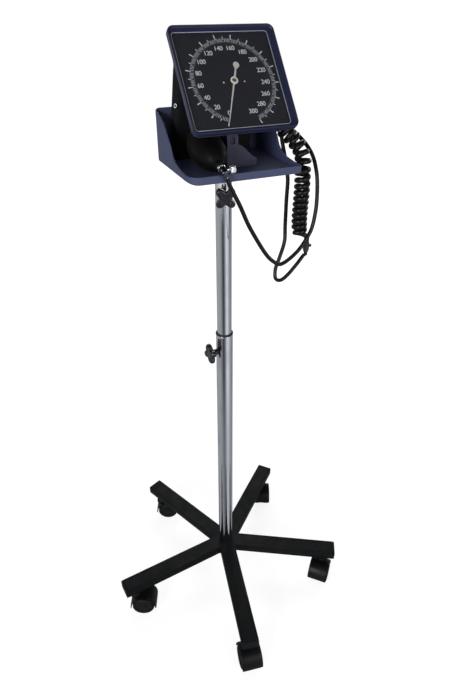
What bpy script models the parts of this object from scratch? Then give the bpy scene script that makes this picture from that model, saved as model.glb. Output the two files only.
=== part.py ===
"""Stand aneroid sphygmomanometer on a five-legged caster base.

Lengths are in metres. The mast axis is vertical, the floor is z = 0 and the dial looks
toward -Y. Heights in the tray are counted from the tray's underside, and the gauge is
modelled upright around its tilt hinge and then leaned back.
"""
import math

import bmesh
import bpy
import numpy as np
from mathutils import Matrix, Vector

# Clearances
GAP = 0.0003
RUNNING_GAP = 0.0005
OVERRUN = 0.004
WELD_DISTANCE = 0.00001

# Five-legged base
LEG_COUNT = 5
FIRST_LEG_DEG = -29.85
LEG_LENGTH = 0.265
LEG_WIDTH = 0.032
LEG_HEIGHT = 0.0205
LEG_WALL = 0.0018
LEG_EDGE_RADIUS = 0.0012
HUB_SOLID_RADIUS = 0.052
CAP_THICKNESS = 0.0025
CAP_PLUG_LENGTH = 0.009
BASE_BOLT_RADIUS = 0.005
BASE_BOLT_HEAD_RADIUS = 0.0085
BASE_BOLT_HEAD_HEIGHT = 0.0055
BASE_BOLT_GRIP = 0.011

# Casters
CASTER_HEIGHT = 0.0715
CASTER_SETBACK = 0.027
CASTER_TRAIL = 0.016
CASTER_TRAIL_DEG = (-135.0, -114.0, -23.0, -23.0, -100.0)
WHEEL_RADIUS = 0.025
WHEEL_WIDTH = 0.0175
WHEEL_SHOULDER = 0.003
WHEEL_RIM_WIDTH = 0.006
WHEEL_DISH_DEPTH = 0.002
WHEEL_SIDE_GAP = 0.001
AXLE_RADIUS = 0.003
HOOD_GAP = 0.0022
HOOD_WALL = 0.0025
HOOD_WEB = 0.008
HOOD_SKIRT = 0.007
HOOD_BOSS_RADIUS = 0.0105
STEM_RADIUS = 0.0045
STEM_NUT_RADIUS = 0.008
STEM_NUT_HEIGHT = 0.004
STEM_WASHER_RADIUS = 0.0095
STEM_WASHER_HEIGHT = 0.002
STEM_FLOOR = 0.001

# Mast
MAST_SET_HEIGHT = 0.9097
LOWER_TUBE_LENGTH = 0.586
LOWER_TUBE_RADIUS = 0.016
LOWER_TUBE_WALL = 0.0015
MAST_FOOT_HEIGHT = 0.014
BUSH_FLANGE_RADIUS = 0.0166
BUSH_FLANGE_HEIGHT = 0.0095
BUSH_SLEEVE_LENGTH = 0.018
UPPER_TUBE_RADIUS = 0.013
UPPER_TUBE_WALL = 0.0015
UPPER_TUBE_LENGTH = 0.56

# Star knobs
KNOB_RADIUS = 0.0155
KNOB_LOBES = 4
KNOB_LOBE_DEPTH = 0.0042
KNOB_THICKNESS = 0.010
KNOB_EDGE_RADIUS = 0.0015
KNOB_STUD_RADIUS = 0.003
KNOB_NECK_RADIUS = 0.0065
HEIGHT_KNOB_NECK = 0.0095
HEIGHT_KNOB_DROP = 0.0293
HEIGHT_KNOB_DEG = 187.0
TRAY_KNOB_NECK = 0.0145
TRAY_KNOB_DROP = 0.0466
TRAY_KNOB_DEG = -107.0

# Tray and its socket
TRAY_WIDTH = 0.180
TRAY_FRONT = -0.0935
TRAY_BACK = 0.0593
TRAY_FLOOR = 0.0035
TRAY_WALL = 0.0025
TRAY_LIP_HEIGHT = 0.009
TRAY_BACK_HEIGHT = 0.0785
TRAY_CORNER_RADIUS = 0.009
TRAY_DEPTH = TRAY_BACK - TRAY_FRONT
RIM_DEPTH_SHARES = (0.0556, 0.2651, 0.3698, 0.4810, 0.5465, 0.6119, 0.7232, 0.8500, 0.9457)
RIM_RISE_SHARES = (0.0, 0.0288, 0.0719, 0.1871, 0.3885, 0.5324, 0.7626, 0.8850, 0.9496)
SOCKET_FLANGE_RADIUS = 0.024
SOCKET_FLANGE_HEIGHT = 0.004
SPIGOT_LENGTH = 0.070

# Gauge stand and tilt hinge
GAUGE_LEAN_DEG = 38.6
HINGE_Y = -0.027
HINGE_RISE = 0.072
STAND_LEFT = -0.0125
STAND_RIGHT = 0.0054
STAND_FOOT_RIGHT = 0.0365
STAND_FOOT_HEIGHT = 0.011
STAND_WEB_RISE = 0.0215
WEB_RUN_SHARES = (0.93, 0.75, 0.55, 0.36, 0.18)
WEB_RISE_SHARES = (0.02, 0.20, 0.46, 0.72, 0.93)
STAND_DEPTH = 0.0255
STAND_EAR_RADIUS = 0.0072
STAND_SHOULDER_RISE = 0.048
SLOT_WIDTH = 0.0075
SLOT_HEIGHT = 0.011
SLOT_DEPTH = 0.004
SLOT_RISE = 0.038
TILT_BOLT_RADIUS = 0.003
TILT_BOLT_HEAD_RADIUS = 0.0058
TILT_BOLT_HEAD_HEIGHT = 0.004

# Gauge case
CASE_SIZE = 0.1615
CASE_CORNER_RADIUS = 0.0095
CASE_WALL = 0.0025
CASE_RIM_DEPTH = 0.0195
CASE_DEPTH = 0.0415
CASE_TAPER = 0.02875
HINGE_BEHIND_FRONT = 0.049
HINGE_BELOW_CENTRE = 0.031
BEZEL_DEPTH = 0.008
BEZEL_SIDE = 0.00975
BEZEL_HEAD = 0.01075
BEZEL_OPENING_RADIUS = 0.0085
BEZEL_LIP = 0.0016
BEZEL_REBATE = 0.0028
LENS_THICKNESS = 0.0015
DIAL_THICKNESS = 0.0011
DIAL_HOLE_RADIUS = 0.0028
LUG_THICKNESS = 0.0035
LUG_RADIUS = 0.0065

# Movement behind the dial
POINTER_TIP = 0.065
POINTER_TAIL = 0.0245
POINTER_WIDTH = 0.0024
POINTER_TIP_WIDTH = 0.0008
POINTER_DISC_RADIUS = 0.0052
POINTER_HUB_RADIUS = 0.0058
POINTER_THICKNESS = 0.0006
POINTER_LIFT = 0.0009
POINTER_ZERO_DEG = -111.5
POINTER_SWEEP_DEG = 316.7
ARBOR_RADIUS = 0.0012
PINION_RADIUS = 0.0030
PINION_TEETH = 10
TOOTH_DEPTH = 0.0006
PINION_WIDTH = 0.0036
SECTOR_RADIUS = 0.0210
SECTOR_TEETH = 15
SECTOR_SPREAD_DEG = 62.0
SECTOR_TAIL_RADIUS = 0.0035
SECTOR_THICKNESS = 0.0016
SECTOR_PIN_RADIUS = 0.0015
FRAME_PLATE_THICKNESS = 0.0014
FRAME_FRONT_DEPTH = 0.0115
FRAME_REAR_DEPTH = 0.0235
FRAME_WIDTH = 0.064
FRAME_HEIGHT = 0.016
FRAME_CORNER_RADIUS = 0.004
PILLAR_RADIUS = 0.0026
PILLAR_REACH = 0.028
CAPSULE_RADIUS = 0.022
CAPSULE_HEIGHT = 0.009
CAPSULE_BOSS_RADIUS = 0.003
CAPSULE_PIPE_RADIUS = 0.0018
CAPSULE_RIB_DEPTH = 0.0012
CAPSULE_RIBS = 3

# Gauge port
PORT_EDGE_INSET = 0.002
PORT_BLOCK_WIDTH = 0.012
PORT_BLOCK_HEIGHT = 0.011
PORT_BLOCK_DEPTH = 0.0115
PORT_NOZZLE_LENGTH = 0.012
PORT_NOZZLE_RADIUS = 0.0038
PORT_BORE_RADIUS = 0.0012
PORT_SPIGOT_RADIUS = 0.0035
PORT_SPIGOT_LENGTH = 0.006

# Inflation bulb, its valves and the release screw
BULB_X = -0.042
BULB_Y = -0.038
BULB_RADIUS = 0.026
BULB_HALF_LENGTH = 0.046
BULB_YAW_DEG = 2.0
BULB_PITCH_DEG = 16.0
BULB_NECK_RADIUS = 0.0085
BULB_NECK_REACH = 0.0500
BULB_POINTS = 11
VALVE_RADIUS = 0.0055
VALVE_LENGTH = 0.0165
VALVE_COLLAR_RADIUS = 0.0066
VALVE_COLLAR_LENGTH = 0.003
VALVE_SPIGOT_RADIUS = 0.004
VALVE_SPIGOT_LENGTH = 0.008
NOZZLE_RADIUS = 0.0033
NOZZLE_LENGTH = 0.0105
NOZZLE_SIDE_DEG = 21.0
NOZZLE_FORWARD_DEG = 20.0
SCREW_REACH = 0.0580
SCREW_STEM_RADIUS = 0.0018
SCREW_STEM_LENGTH = 0.0048
SCREW_SEAT_DEPTH = 0.003
SCREW_KNOB_RADIUS = 0.0053
SCREW_KNOB_LENGTH = 0.008
SCREW_KNURLS = 14
SCREW_KNURL_DEPTH = 0.0004
INLET_RADIUS = 0.006
INLET_LENGTH = 0.005
INLET_SPIGOT_RADIUS = 0.003
INLET_SPIGOT_LENGTH = 0.006

# Folded cuff
CUFF_WIDTH = 0.140
CUFF_FRONT = 0.0280
CUFF_THICKNESS = 0.0282
CUFF_HEIGHT = 0.1455
CUFF_FOLD_RADIUS = 0.0125
CUFF_EDGE_RADIUS = 0.003

# Hoses
HOSE_DIAMETER = 0.0066
HOSE_SPACING = 0.0165
COIL_RADIUS = 0.0090
COIL_WIDE_PITCH = 0.0135
COIL_TIGHT_PITCH = 0.0094
COIL_POINTS_PER_CURL = 9
COIL_EASE_SHARE = 0.5
COIL_EASE_STEEPNESS = 14
COIL_STEPS_PER_CURL = 40
CONNECTOR_WIDTH = 0.0090
CONNECTOR_HEIGHT = 0.0160
CONNECTOR_NUB_RADIUS = 0.0026
CONNECTOR_NUB_LENGTH = 0.005

# Route of the coil's middle line, counted from the tray's underside
COIL_ROUTE = (
    (0.0800, -0.0270, 0.0610), (0.0988, -0.0240, 0.0416), (0.1087, -0.0300, 0.0314),
    (0.1148, -0.0400, 0.0192), (0.1157, -0.0500, 0.0044), (0.1130, -0.0560, -0.0125),
    (0.1131, -0.0570, -0.0411), (0.1122, -0.0570, -0.0843), (0.1136, -0.0570, -0.1110),
)
CONNECTOR_PLACE = (0.1274, -0.0600, -0.1387)

# Routes of the two plain hoses between their end stubs, and where they end on the cuff's front
CUFF_TUBE_ROUTE = (
    (0.1245, -0.0600, -0.1540), (0.1118, -0.0600, -0.1690),
    (0.0953, -0.0600, -0.1860), (0.0830, -0.0580, -0.1955), (0.0745, -0.0540, -0.1930),
    (0.0760, -0.0490, -0.1770), (0.0840, -0.0460, -0.1600), (0.0960, -0.0400, -0.1330),
    (0.0985, -0.0350, -0.1064), (0.0990, -0.0335, -0.0635), (0.1000, -0.0325, -0.0300),
    (0.0985, -0.0285, -0.0111), (0.0975, -0.0230, 0.0062), (0.0970, -0.0140, 0.0248),
    (0.0968, -0.0060, 0.0420), (0.0935, 0.0010, 0.0530), (0.0860, 0.0060, 0.0580),
    (0.0760, 0.0110, 0.0560), (0.0680, 0.0160, 0.0500), (0.0640, 0.0225, 0.0450),
)
CUFF_TUBE_END = (0.0635, 0.0440)
BULB_TUBE_ROUTE = (
    (-0.0277, -0.1010, -0.0150), (-0.0155, -0.0990, -0.0373),
    (0.0029, -0.0960, -0.0750), (0.0323, -0.0920, -0.1225), (0.0500, -0.0895, -0.1420),
    (0.0642, -0.0870, -0.1500), (0.0845, -0.0820, -0.1450), (0.1040, -0.0780, -0.1330),
    (0.1200, -0.0760, -0.1133), (0.1285, -0.0730, -0.0990), (0.1343, -0.0700, -0.0744),
    (0.1365, -0.0670, -0.0530), (0.1370, -0.0630, -0.0278), (0.1372, -0.0560, -0.0100),
    (0.1365, -0.0440, 0.0080), (0.1320, -0.0280, 0.0230), (0.1230, -0.0130, 0.0360),
    (0.1120, 0.0010, 0.0480), (0.1020, 0.0110, 0.0600), (0.0920, 0.0170, 0.0700),
    (0.0820, 0.0195, 0.0730), (0.0730, 0.0210, 0.0730), (0.0670, 0.0235, 0.0720),
)
BULB_TUBE_END = (0.0650, 0.0715)

# Mesh densities
ROUND_STEPS = 32
SMALL_STEPS = 16
WHEEL_STEPS = 20
CORNER_STEPS = 4
BULB_STEPS = 24
LINE_STEPS = 24
KNOB_LOBE_STEPS = 8
KNURL_STEPS = 4

# Places that follow from the sizes above
HUB_TOP = CASTER_HEIGHT + LEG_HEIGHT
TRAY_BOTTOM = HUB_TOP + MAST_SET_HEIGHT
MAST_FOOT = HUB_TOP + GAP
LOWER_TUBE_TOP = MAST_FOOT + LOWER_TUBE_LENGTH
LOWER_BORE = LOWER_TUBE_RADIUS - LOWER_TUBE_WALL
UPPER_BORE = UPPER_TUBE_RADIUS - UPPER_TUBE_WALL
UPPER_TUBE_TOP = TRAY_BOTTOM - SOCKET_FLANGE_HEIGHT - 2 * GAP
FRONT_Y = -HINGE_BEHIND_FRONT
DIAL_FRONT_DEPTH = (BEZEL_LIP + GAP + LENS_THICKNESS + 3 * POINTER_LIFT
                    + POINTER_THICKNESS)
PORT_BLOCK_RIGHT = CASE_SIZE / 2 - CASE_TAPER - PORT_EDGE_INSET
PORT_BLOCK_LEFT = PORT_BLOCK_RIGHT - PORT_BLOCK_WIDTH
PORT_NOZZLE_END = PORT_BLOCK_RIGHT + PORT_NOZZLE_LENGTH

model = bpy.data.collections.new("stand_aneroid_sphygmomanometer")
cutters = bpy.data.collections.new("cutters")


def clear_scene():
    """Removes whatever the scene holds and links the two collections."""
    for old in list(bpy.data.objects):
        bpy.data.objects.remove(old, do_unlink=True)
    bpy.context.scene.collection.children.link(model)
    bpy.context.scene.collection.children.link(cutters)


def make_material(name, colour, roughness, metallic=0.0, alpha=1.0):
    """Returns a Principled BSDF material."""
    material = bpy.data.materials.new(name)
    material.use_nodes = True
    shader = material.node_tree.nodes["Principled BSDF"]
    shader.inputs["Base Color"].default_value = (*colour, 1.0)
    shader.inputs["Roughness"].default_value = roughness
    shader.inputs["Metallic"].default_value = metallic
    shader.inputs["Alpha"].default_value = alpha
    return material


def place(obj, parent=None, location=(0, 0, 0), rotation=(0, 0, 0)):
    """Sets an object's parent, location and Euler rotation."""
    obj.parent = parent
    obj.location = location
    obj.rotation_euler = rotation
    return obj


def empty(name, parent=None, location=(0, 0, 0), rotation=(0, 0, 0)):
    """Makes an empty that carries other objects."""
    carrier = bpy.data.objects.new(name, None)
    model.objects.link(carrier)
    return place(carrier, parent, location, rotation)


def mesh_object(name, mesh):
    """Wraps a mesh in an object of the cutters collection."""
    obj = bpy.data.objects.new(name, mesh)
    cutters.objects.link(obj)
    obj.hide_render = True
    obj.display_type = "WIRE"
    return obj


def as_part(obj, colour, roughness, metallic=0.0, alpha=1.0, smooth_deg=35.0):
    """Moves an object to the model collection and gives it its own material."""
    cutters.objects.unlink(obj)
    model.objects.link(obj)
    obj.hide_render = False
    obj.display_type = "TEXTURED"
    if obj.data.users == 1:
        obj.data.materials.append(make_material(obj.name, colour, roughness, metallic, alpha))
    obj.data.shade_smooth()
    obj.data.set_sharp_from_angle(angle=math.radians(smooth_deg))
    return obj


def bmesh_object(name, bm):
    """Turns a bmesh into an object."""
    mesh = bpy.data.meshes.new(name)
    bm.to_mesh(mesh)
    bm.free()
    return mesh_object(name, mesh)


def box(name, low, high):
    """Box between two opposite corners."""
    low, high = Vector(low), Vector(high)
    bm = bmesh.new()
    bmesh.ops.create_cube(bm, size=1.0)
    bmesh.ops.scale(bm, vec=high - low, verts=bm.verts)
    bmesh.ops.translate(bm, vec=(low + high) / 2, verts=bm.verts)
    return bmesh_object(name, bm)


def rod(name, radius, start, end, steps=SMALL_STEPS):
    """Cylinder between two points."""
    start, end = Vector(start), Vector(end)
    turn = (end - start).to_track_quat("Z", "Y").to_matrix().to_4x4()
    bm = bmesh.new()
    bmesh.ops.create_cone(
        bm, cap_ends=True, segments=steps, radius1=radius, radius2=radius,
        depth=(end - start).length,
        matrix=Matrix.Translation((start + end) / 2) @ turn,
    )
    return bmesh_object(name, bm)


def turned(name, profile, steps=ROUND_STEPS):
    """Screws a profile of (radius, height) points around Z.

    The profile runs down its outer side. It is closed into a ring unless both its
    ends lie on the axis.
    """
    on_axis = profile[0][0] == 0 and profile[-1][0] == 0
    count = len(profile)
    edges = [(i, i + 1) for i in range(count - 1)]
    if not on_axis:
        edges.append((count - 1, 0))
    mesh = bpy.data.meshes.new(name)
    mesh.from_pydata([(radius, 0, height) for radius, height in profile], edges, [])
    obj = mesh_object(name, mesh)
    screw = obj.modifiers.new("turn", "SCREW")
    screw.steps = steps
    screw.render_steps = steps
    screw.use_merge_vertices = on_axis
    screw.merge_threshold = WELD_DISTANCE
    screw.use_smooth_shade = True
    return obj


def applied(obj):
    """Returns the object with its modifiers turned into its mesh."""
    bpy.context.view_layer.update()
    graph = bpy.context.evaluated_depsgraph_get()
    mesh = bpy.data.meshes.new_from_object(obj.evaluated_get(graph))
    obj.modifiers.clear()
    obj.data = mesh
    return obj


def curve_to_mesh(curve_object):
    """Replaces a curve object by a closed mesh with welded caps."""
    bpy.context.view_layer.update()
    graph = bpy.context.evaluated_depsgraph_get()
    mesh = bpy.data.meshes.new_from_object(curve_object.evaluated_get(graph))
    bm = bmesh.new()
    bm.from_mesh(mesh)
    bmesh.ops.remove_doubles(bm, verts=bm.verts, dist=WELD_DISTANCE)
    bmesh.ops.recalc_face_normals(bm, faces=bm.faces)
    name = curve_object.name
    matrix = curve_object.matrix_world.copy()
    bpy.data.objects.remove(curve_object, do_unlink=True)
    obj = bmesh_object(name, bm)
    bpy.data.meshes.remove(mesh)
    obj.matrix_world = matrix
    return obj


def plate(name, outlines, thickness):
    """Flat shape in the XY plane, centred on z = 0; later outlines are its holes."""
    curve = bpy.data.curves.new(name, "CURVE")
    curve.dimensions = "2D"
    curve.fill_mode = "BOTH"
    curve.extrude = thickness / 2
    for outline in outlines:
        spline = curve.splines.new("POLY")
        spline.points.add(len(outline) - 1)
        for point, (x, y) in zip(spline.points, outline):
            point.co = (x, y, 0, 1)
        spline.use_cyclic_u = True
    obj = bpy.data.objects.new(name, curve)
    cutters.objects.link(obj)
    return curve_to_mesh(obj)


def hose(name, points, resolution):
    """Round hose along a list of points."""
    curve = bpy.data.curves.new(name, "CURVE")
    curve.dimensions = "3D"
    curve.bevel_depth = HOSE_DIAMETER / 2
    curve.bevel_resolution = resolution
    curve.use_fill_caps = True
    spline = curve.splines.new("POLY")
    spline.points.add(len(points) - 1)
    for point, place_in_space in zip(spline.points, points):
        point.co = (*place_in_space, 1)
    obj = bpy.data.objects.new(name, curve)
    cutters.objects.link(obj)
    return curve_to_mesh(obj)


def transform(obj, matrix):
    """Moves an object's mesh within the object."""
    obj.data.transform(matrix)
    return obj


def combine(target, tool, operation):
    """Adds an exact Boolean; the tool stays in the cutters collection."""
    modifier = target.modifiers.new(tool.name, "BOOLEAN")
    modifier.operation = operation
    modifier.solver = "EXACT"
    modifier.object = tool
    tool.parent = target
    return target


def cut(target, tool):
    """Cuts the tool's shape out of the target."""
    return combine(target, tool, "DIFFERENCE")


def join(target, tool):
    """Joins the tool's shape to the target."""
    return combine(target, tool, "UNION")


def round_edges(obj, width, segments=1, angle_deg=50.0):
    """Bevels the edges that are sharper than an angle."""
    bevel = obj.modifiers.new("rounded edges", "BEVEL")
    bevel.width = width
    bevel.segments = segments
    bevel.limit_method = "ANGLE"
    bevel.angle_limit = math.radians(angle_deg)
    return obj


def rounded_rectangle(width, height, radius, centre=(0, 0)):
    """Corner-rounded rectangle as a list of points, anticlockwise."""
    points = []
    for corner, (side_x, side_y) in enumerate(((1, 1), (-1, 1), (-1, -1), (1, -1))):
        middle_x = centre[0] + side_x * (width / 2 - radius)
        middle_y = centre[1] + side_y * (height / 2 - radius)
        for step in range(CORNER_STEPS + 1):
            angle = math.pi / 2 * (corner + step / CORNER_STEPS)
            points.append((middle_x + radius * math.cos(angle),
                           middle_y + radius * math.sin(angle)))
    return points


def polar(radius, degrees):
    """Point of the XY plane at a radius and an angle."""
    angle = math.radians(degrees)
    return radius * math.cos(angle), radius * math.sin(angle)


def gear_outline(radius, depth, teeth, start_deg, end_deg):
    """Toothed arc, with its tooth tips at the radius."""
    points = []
    for tooth in range(teeth):
        pitch = (end_deg - start_deg) / teeth
        for share, level in ((0.1, 0), (0.3, 1), (0.7, 1), (0.9, 0)):
            degrees = start_deg + (tooth + share) * pitch
            points.append(polar(radius - depth * (1 - level), degrees))
    return points


def smooth_line(points, spacing):
    """Catmull-Rom curve through points, read at an even spacing."""
    knots = np.array(points, dtype=float)
    knots = np.vstack([2 * knots[0] - knots[1], knots, 2 * knots[-1] - knots[-2]])
    fine = []
    for i in range(1, len(knots) - 2):
        before, start, end, after = knots[i - 1:i + 3]
        for t in np.linspace(0, 1, LINE_STEPS, endpoint=False):
            fine.append(0.5 * (2 * start + (end - before) * t
                               + (2 * before - 5 * start + 4 * end - after) * t ** 2
                               + (3 * start - before - 3 * end + after) * t ** 3))
    fine.append(knots[-2])
    fine = np.array(fine)
    run = np.concatenate([[0], np.cumsum(np.linalg.norm(np.diff(fine, axis=0), axis=1))])
    count = max(2, round(run[-1] / spacing) + 1)
    wanted = np.linspace(0, run[-1], count)
    return np.stack([np.interp(wanted, run, fine[:, k]) for k in range(3)], axis=1)


def hermite(start, start_tangent, end, end_tangent, count):
    """Cubic between two points with given tangents, without its two ends."""
    points = []
    for t in np.linspace(0, 1, count + 2)[1:-1]:
        points.append((2 * t ** 3 - 3 * t ** 2 + 1) * start
                      + (t ** 3 - 2 * t ** 2 + t) * start_tangent
                      + (3 * t ** 2 - 2 * t ** 3) * end
                      + (t ** 3 - t ** 2) * end_tangent)
    return points


def build_base(root):
    """Star of five hollow legs, their end caps and the bolt that holds the mast."""
    inner = LEG_WIDTH / 2 / math.sin(math.pi / LEG_COUNT)
    tube_end = LEG_LENGTH - CAP_THICKNESS - GAP
    stem_reach = LEG_LENGTH - CASTER_SETBACK
    outline = []
    for leg in range(LEG_COUNT):
        heading = FIRST_LEG_DEG + 360 / LEG_COUNT * leg
        across = Vector(polar(LEG_WIDTH / 2, heading + 90))
        end = Vector(polar(tube_end, heading))
        outline.append(tuple(end - across))
        outline.append(tuple(end + across))
        outline.append(polar(inner, heading + 180 / LEG_COUNT))
    star = plate("base_frame", [outline], LEG_HEIGHT)
    transform(star, Matrix.Translation((0, 0, LEG_HEIGHT / 2)))
    place(star, root, (0, 0, CASTER_HEIGHT))
    round_edges(star, LEG_EDGE_RADIUS)
    bore_width = LEG_WIDTH - 2 * LEG_WALL
    bore_height = LEG_HEIGHT - 2 * LEG_WALL
    for leg in range(LEG_COUNT):
        heading = math.radians(FIRST_LEG_DEG + 360 / LEG_COUNT * leg)
        turn = Matrix.Rotation(heading, 4, "Z")
        bore = box(f"leg_bore_{leg + 1}",
                   (HUB_SOLID_RADIUS, -bore_width / 2, LEG_WALL),
                   (LEG_LENGTH + OVERRUN, bore_width / 2, LEG_HEIGHT - LEG_WALL))
        cut(star, transform(bore, turn))
        hole = rod(f"stem_hole_{leg + 1}", STEM_RADIUS + GAP,
                   (stem_reach, 0, -OVERRUN), (stem_reach, 0, LEG_WALL + GAP))
        cut(star, transform(hole, turn))
    cut(star, rod("bolt_hole", BASE_BOLT_RADIUS + GAP, (0, 0, -OVERRUN),
                  (0, 0, LEG_HEIGHT + OVERRUN)))
    as_part(star, (0.016, 0.017, 0.020), 0.42)

    for leg in range(LEG_COUNT):
        heading = math.radians(FIRST_LEG_DEG + 360 / LEG_COUNT * leg)
        cap = box(f"leg_end_cap_{leg + 1}",
                  (LEG_LENGTH - CAP_THICKNESS, -LEG_WIDTH / 2, 0),
                  (LEG_LENGTH, LEG_WIDTH / 2, LEG_HEIGHT))
        round_edges(cap, LEG_EDGE_RADIUS)
        join(cap, box(f"cap_plug_{leg + 1}",
                      (tube_end - CAP_PLUG_LENGTH, GAP - bore_width / 2, LEG_WALL + GAP),
                      (LEG_LENGTH - CAP_THICKNESS / 2, bore_width / 2 - GAP,
                       LEG_WALL + bore_height - GAP)))
        place(cap, root, (0, 0, CASTER_HEIGHT), (0, 0, heading))
        as_part(cap, (0.014, 0.014, 0.016), 0.5)

    bolt_top = LEG_HEIGHT + GAP + BASE_BOLT_GRIP
    bolt = turned("base_bolt", [
        (0, bolt_top), (BASE_BOLT_RADIUS, bolt_top), (BASE_BOLT_RADIUS, -GAP),
        (BASE_BOLT_HEAD_RADIUS, -GAP), (BASE_BOLT_HEAD_RADIUS, -BASE_BOLT_HEAD_HEIGHT),
        (0, -BASE_BOLT_HEAD_HEIGHT),
    ], SMALL_STEPS)
    place(bolt, root, (0, 0, CASTER_HEIGHT))
    as_part(bolt, (0.45, 0.45, 0.47), 0.35, 1.0)


def caster_hood(name):
    """Twin-wheel caster body around its axle, which lies along local Y."""
    outer = WHEEL_RADIUS + HOOD_GAP + HOOD_WALL
    half = HOOD_WEB / 2 + WHEEL_SIDE_GAP + WHEEL_WIDTH
    hood = rod(name, outer, (0, -half, 0), (0, half, 0), ROUND_STEPS)
    boss_top = CASTER_HEIGHT - WHEEL_RADIUS - STEM_WASHER_HEIGHT - GAP - RUNNING_GAP
    arch_at_boss = math.sqrt(outer ** 2 - CASTER_TRAIL ** 2)
    boss_root = outer - HOOD_WALL - HOOD_GAP
    join(hood, rod(f"{name}_boss", HOOD_BOSS_RADIUS, (-CASTER_TRAIL, 0, boss_root),
                   (-CASTER_TRAIL, 0, boss_top), SMALL_STEPS))
    for side in (-1, 1):
        cut(hood, rod(f"{name}_wheel_space_{side}", WHEEL_RADIUS + HOOD_GAP,
                      (0, side * HOOD_WEB / 2, 0), (0, side * (half + OVERRUN), 0), ROUND_STEPS))
    cut(hood, box(f"{name}_open_side", (-outer - OVERRUN, -half - OVERRUN, -outer - OVERRUN),
                  (outer + OVERRUN, half + OVERRUN, -HOOD_SKIRT)))
    cut(hood, rod(f"{name}_stem_bore", STEM_RADIUS + RUNNING_GAP,
                  (-CASTER_TRAIL, 0, arch_at_boss + STEM_FLOOR),
                  (-CASTER_TRAIL, 0, boss_top + OVERRUN), SMALL_STEPS))
    cut(hood, rod(f"{name}_axle_bore", AXLE_RADIUS + GAP, (0, -half, 0), (0, half, 0), SMALL_STEPS))
    return hood


def caster_wheel(name, side):
    """One wheel on local Y, with its dished face outward."""
    half = WHEEL_WIDTH / 2
    bore = AXLE_RADIUS + RUNNING_GAP
    rim = WHEEL_RADIUS - WHEEL_RIM_WIDTH
    wheel = turned(name, [
        (WHEEL_RADIUS - WHEEL_SHOULDER, half), (WHEEL_RADIUS, half - WHEEL_SHOULDER),
        (WHEEL_RADIUS, WHEEL_SHOULDER - half), (WHEEL_RADIUS - WHEEL_SHOULDER, -half),
        (bore, -half), (bore, half - WHEEL_DISH_DEPTH), (rim, half - WHEEL_DISH_DEPTH),
        (rim, half),
    ], WHEEL_STEPS)
    offset = side * (HOOD_WEB / 2 + WHEEL_SIDE_GAP + half)
    return place(wheel, None, (0, offset, 0), (-side * math.pi / 2, 0, 0))


def build_casters(root):
    """Five swivelling twin-wheel casters."""
    under = CASTER_HEIGHT
    outer = WHEEL_RADIUS + HOOD_GAP + HOOD_WALL
    stem_end = WHEEL_RADIUS + math.sqrt(outer ** 2 - CASTER_TRAIL ** 2) + STEM_FLOOR + GAP
    nut_low = under + LEG_WALL + GAP
    for leg in range(LEG_COUNT):
        number = leg + 1
        x, y = polar(LEG_LENGTH - CASTER_SETBACK, FIRST_LEG_DEG + 360 / LEG_COUNT * leg)
        swivel = empty(f"caster_{number}_swivel", root, (x, y, 0),
                       (0, 0, math.radians(CASTER_TRAIL_DEG[leg])))
        stem = turned(f"caster_stem_{number}", [
            (0, nut_low + STEM_NUT_HEIGHT), (STEM_NUT_RADIUS, nut_low + STEM_NUT_HEIGHT),
            (STEM_NUT_RADIUS, nut_low), (STEM_RADIUS, nut_low), (STEM_RADIUS, under - GAP),
            (STEM_WASHER_RADIUS, under - GAP),
            (STEM_WASHER_RADIUS, under - GAP - STEM_WASHER_HEIGHT),
            (STEM_RADIUS, under - GAP - STEM_WASHER_HEIGHT), (STEM_RADIUS, stem_end),
            (0, stem_end),
        ], SMALL_STEPS)
        place(stem, root, (x, y, 0))
        as_part(stem, (0.5, 0.5, 0.52), 0.35, 1.0)
        axle_home = (CASTER_TRAIL, 0, WHEEL_RADIUS)
        hood = place(caster_hood(f"caster_hood_{number}"), swivel, axle_home)
        as_part(hood, (0.012, 0.012, 0.014), 0.4)
        reach = HOOD_WEB / 2 + WHEEL_SIDE_GAP + WHEEL_WIDTH - WHEEL_DISH_DEPTH
        axle = rod(f"caster_axle_{number}", AXLE_RADIUS, (0, -reach, 0), (0, reach, 0), SMALL_STEPS)
        as_part(place(axle, swivel, axle_home), (0.5, 0.5, 0.52), 0.3, 1.0)
        for side, word in ((1, "left"), (-1, "right")):
            wheel = caster_wheel(f"wheel_{word}_{number}", side)
            wheel.parent = swivel
            wheel.location += Vector(axle_home)
            as_part(wheel, (0.02, 0.02, 0.022), 0.6)


def star_knob(name, neck, stud):
    """Lobed clamp knob; local +Z points away from the tube it clamps."""
    outline = []
    steps = KNOB_LOBES * KNOB_LOBE_STEPS
    for step in range(steps):
        degrees = 360 / steps * step
        wave = (1 - math.cos(math.radians(KNOB_LOBES * degrees))) / 2
        outline.append(polar(KNOB_RADIUS - KNOB_LOBE_DEPTH * wave ** 2, degrees))
    knob = plate(name, [outline], KNOB_THICKNESS)
    transform(knob, Matrix.Translation((0, 0, neck + KNOB_THICKNESS / 2)))
    round_edges(knob, KNOB_EDGE_RADIUS)
    join(knob, turned(f"{name}_stem", [
        (0, neck + KNOB_THICKNESS / 2), (KNOB_NECK_RADIUS, neck + KNOB_THICKNESS / 2),
        (KNOB_NECK_RADIUS, 0), (KNOB_STUD_RADIUS, 0), (KNOB_STUD_RADIUS, -stud), (0, -stud),
    ], SMALL_STEPS))
    return as_part(knob, (0.012, 0.012, 0.014), 0.35)


def aim_outward(obj, parent, radius, degrees, height):
    """Puts an object on a tube's side with its local Z pointing away from the axis."""
    x, y = polar(radius, degrees)
    return place(obj, parent, (x, y, height), (0, math.pi / 2, math.radians(degrees)))


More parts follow.
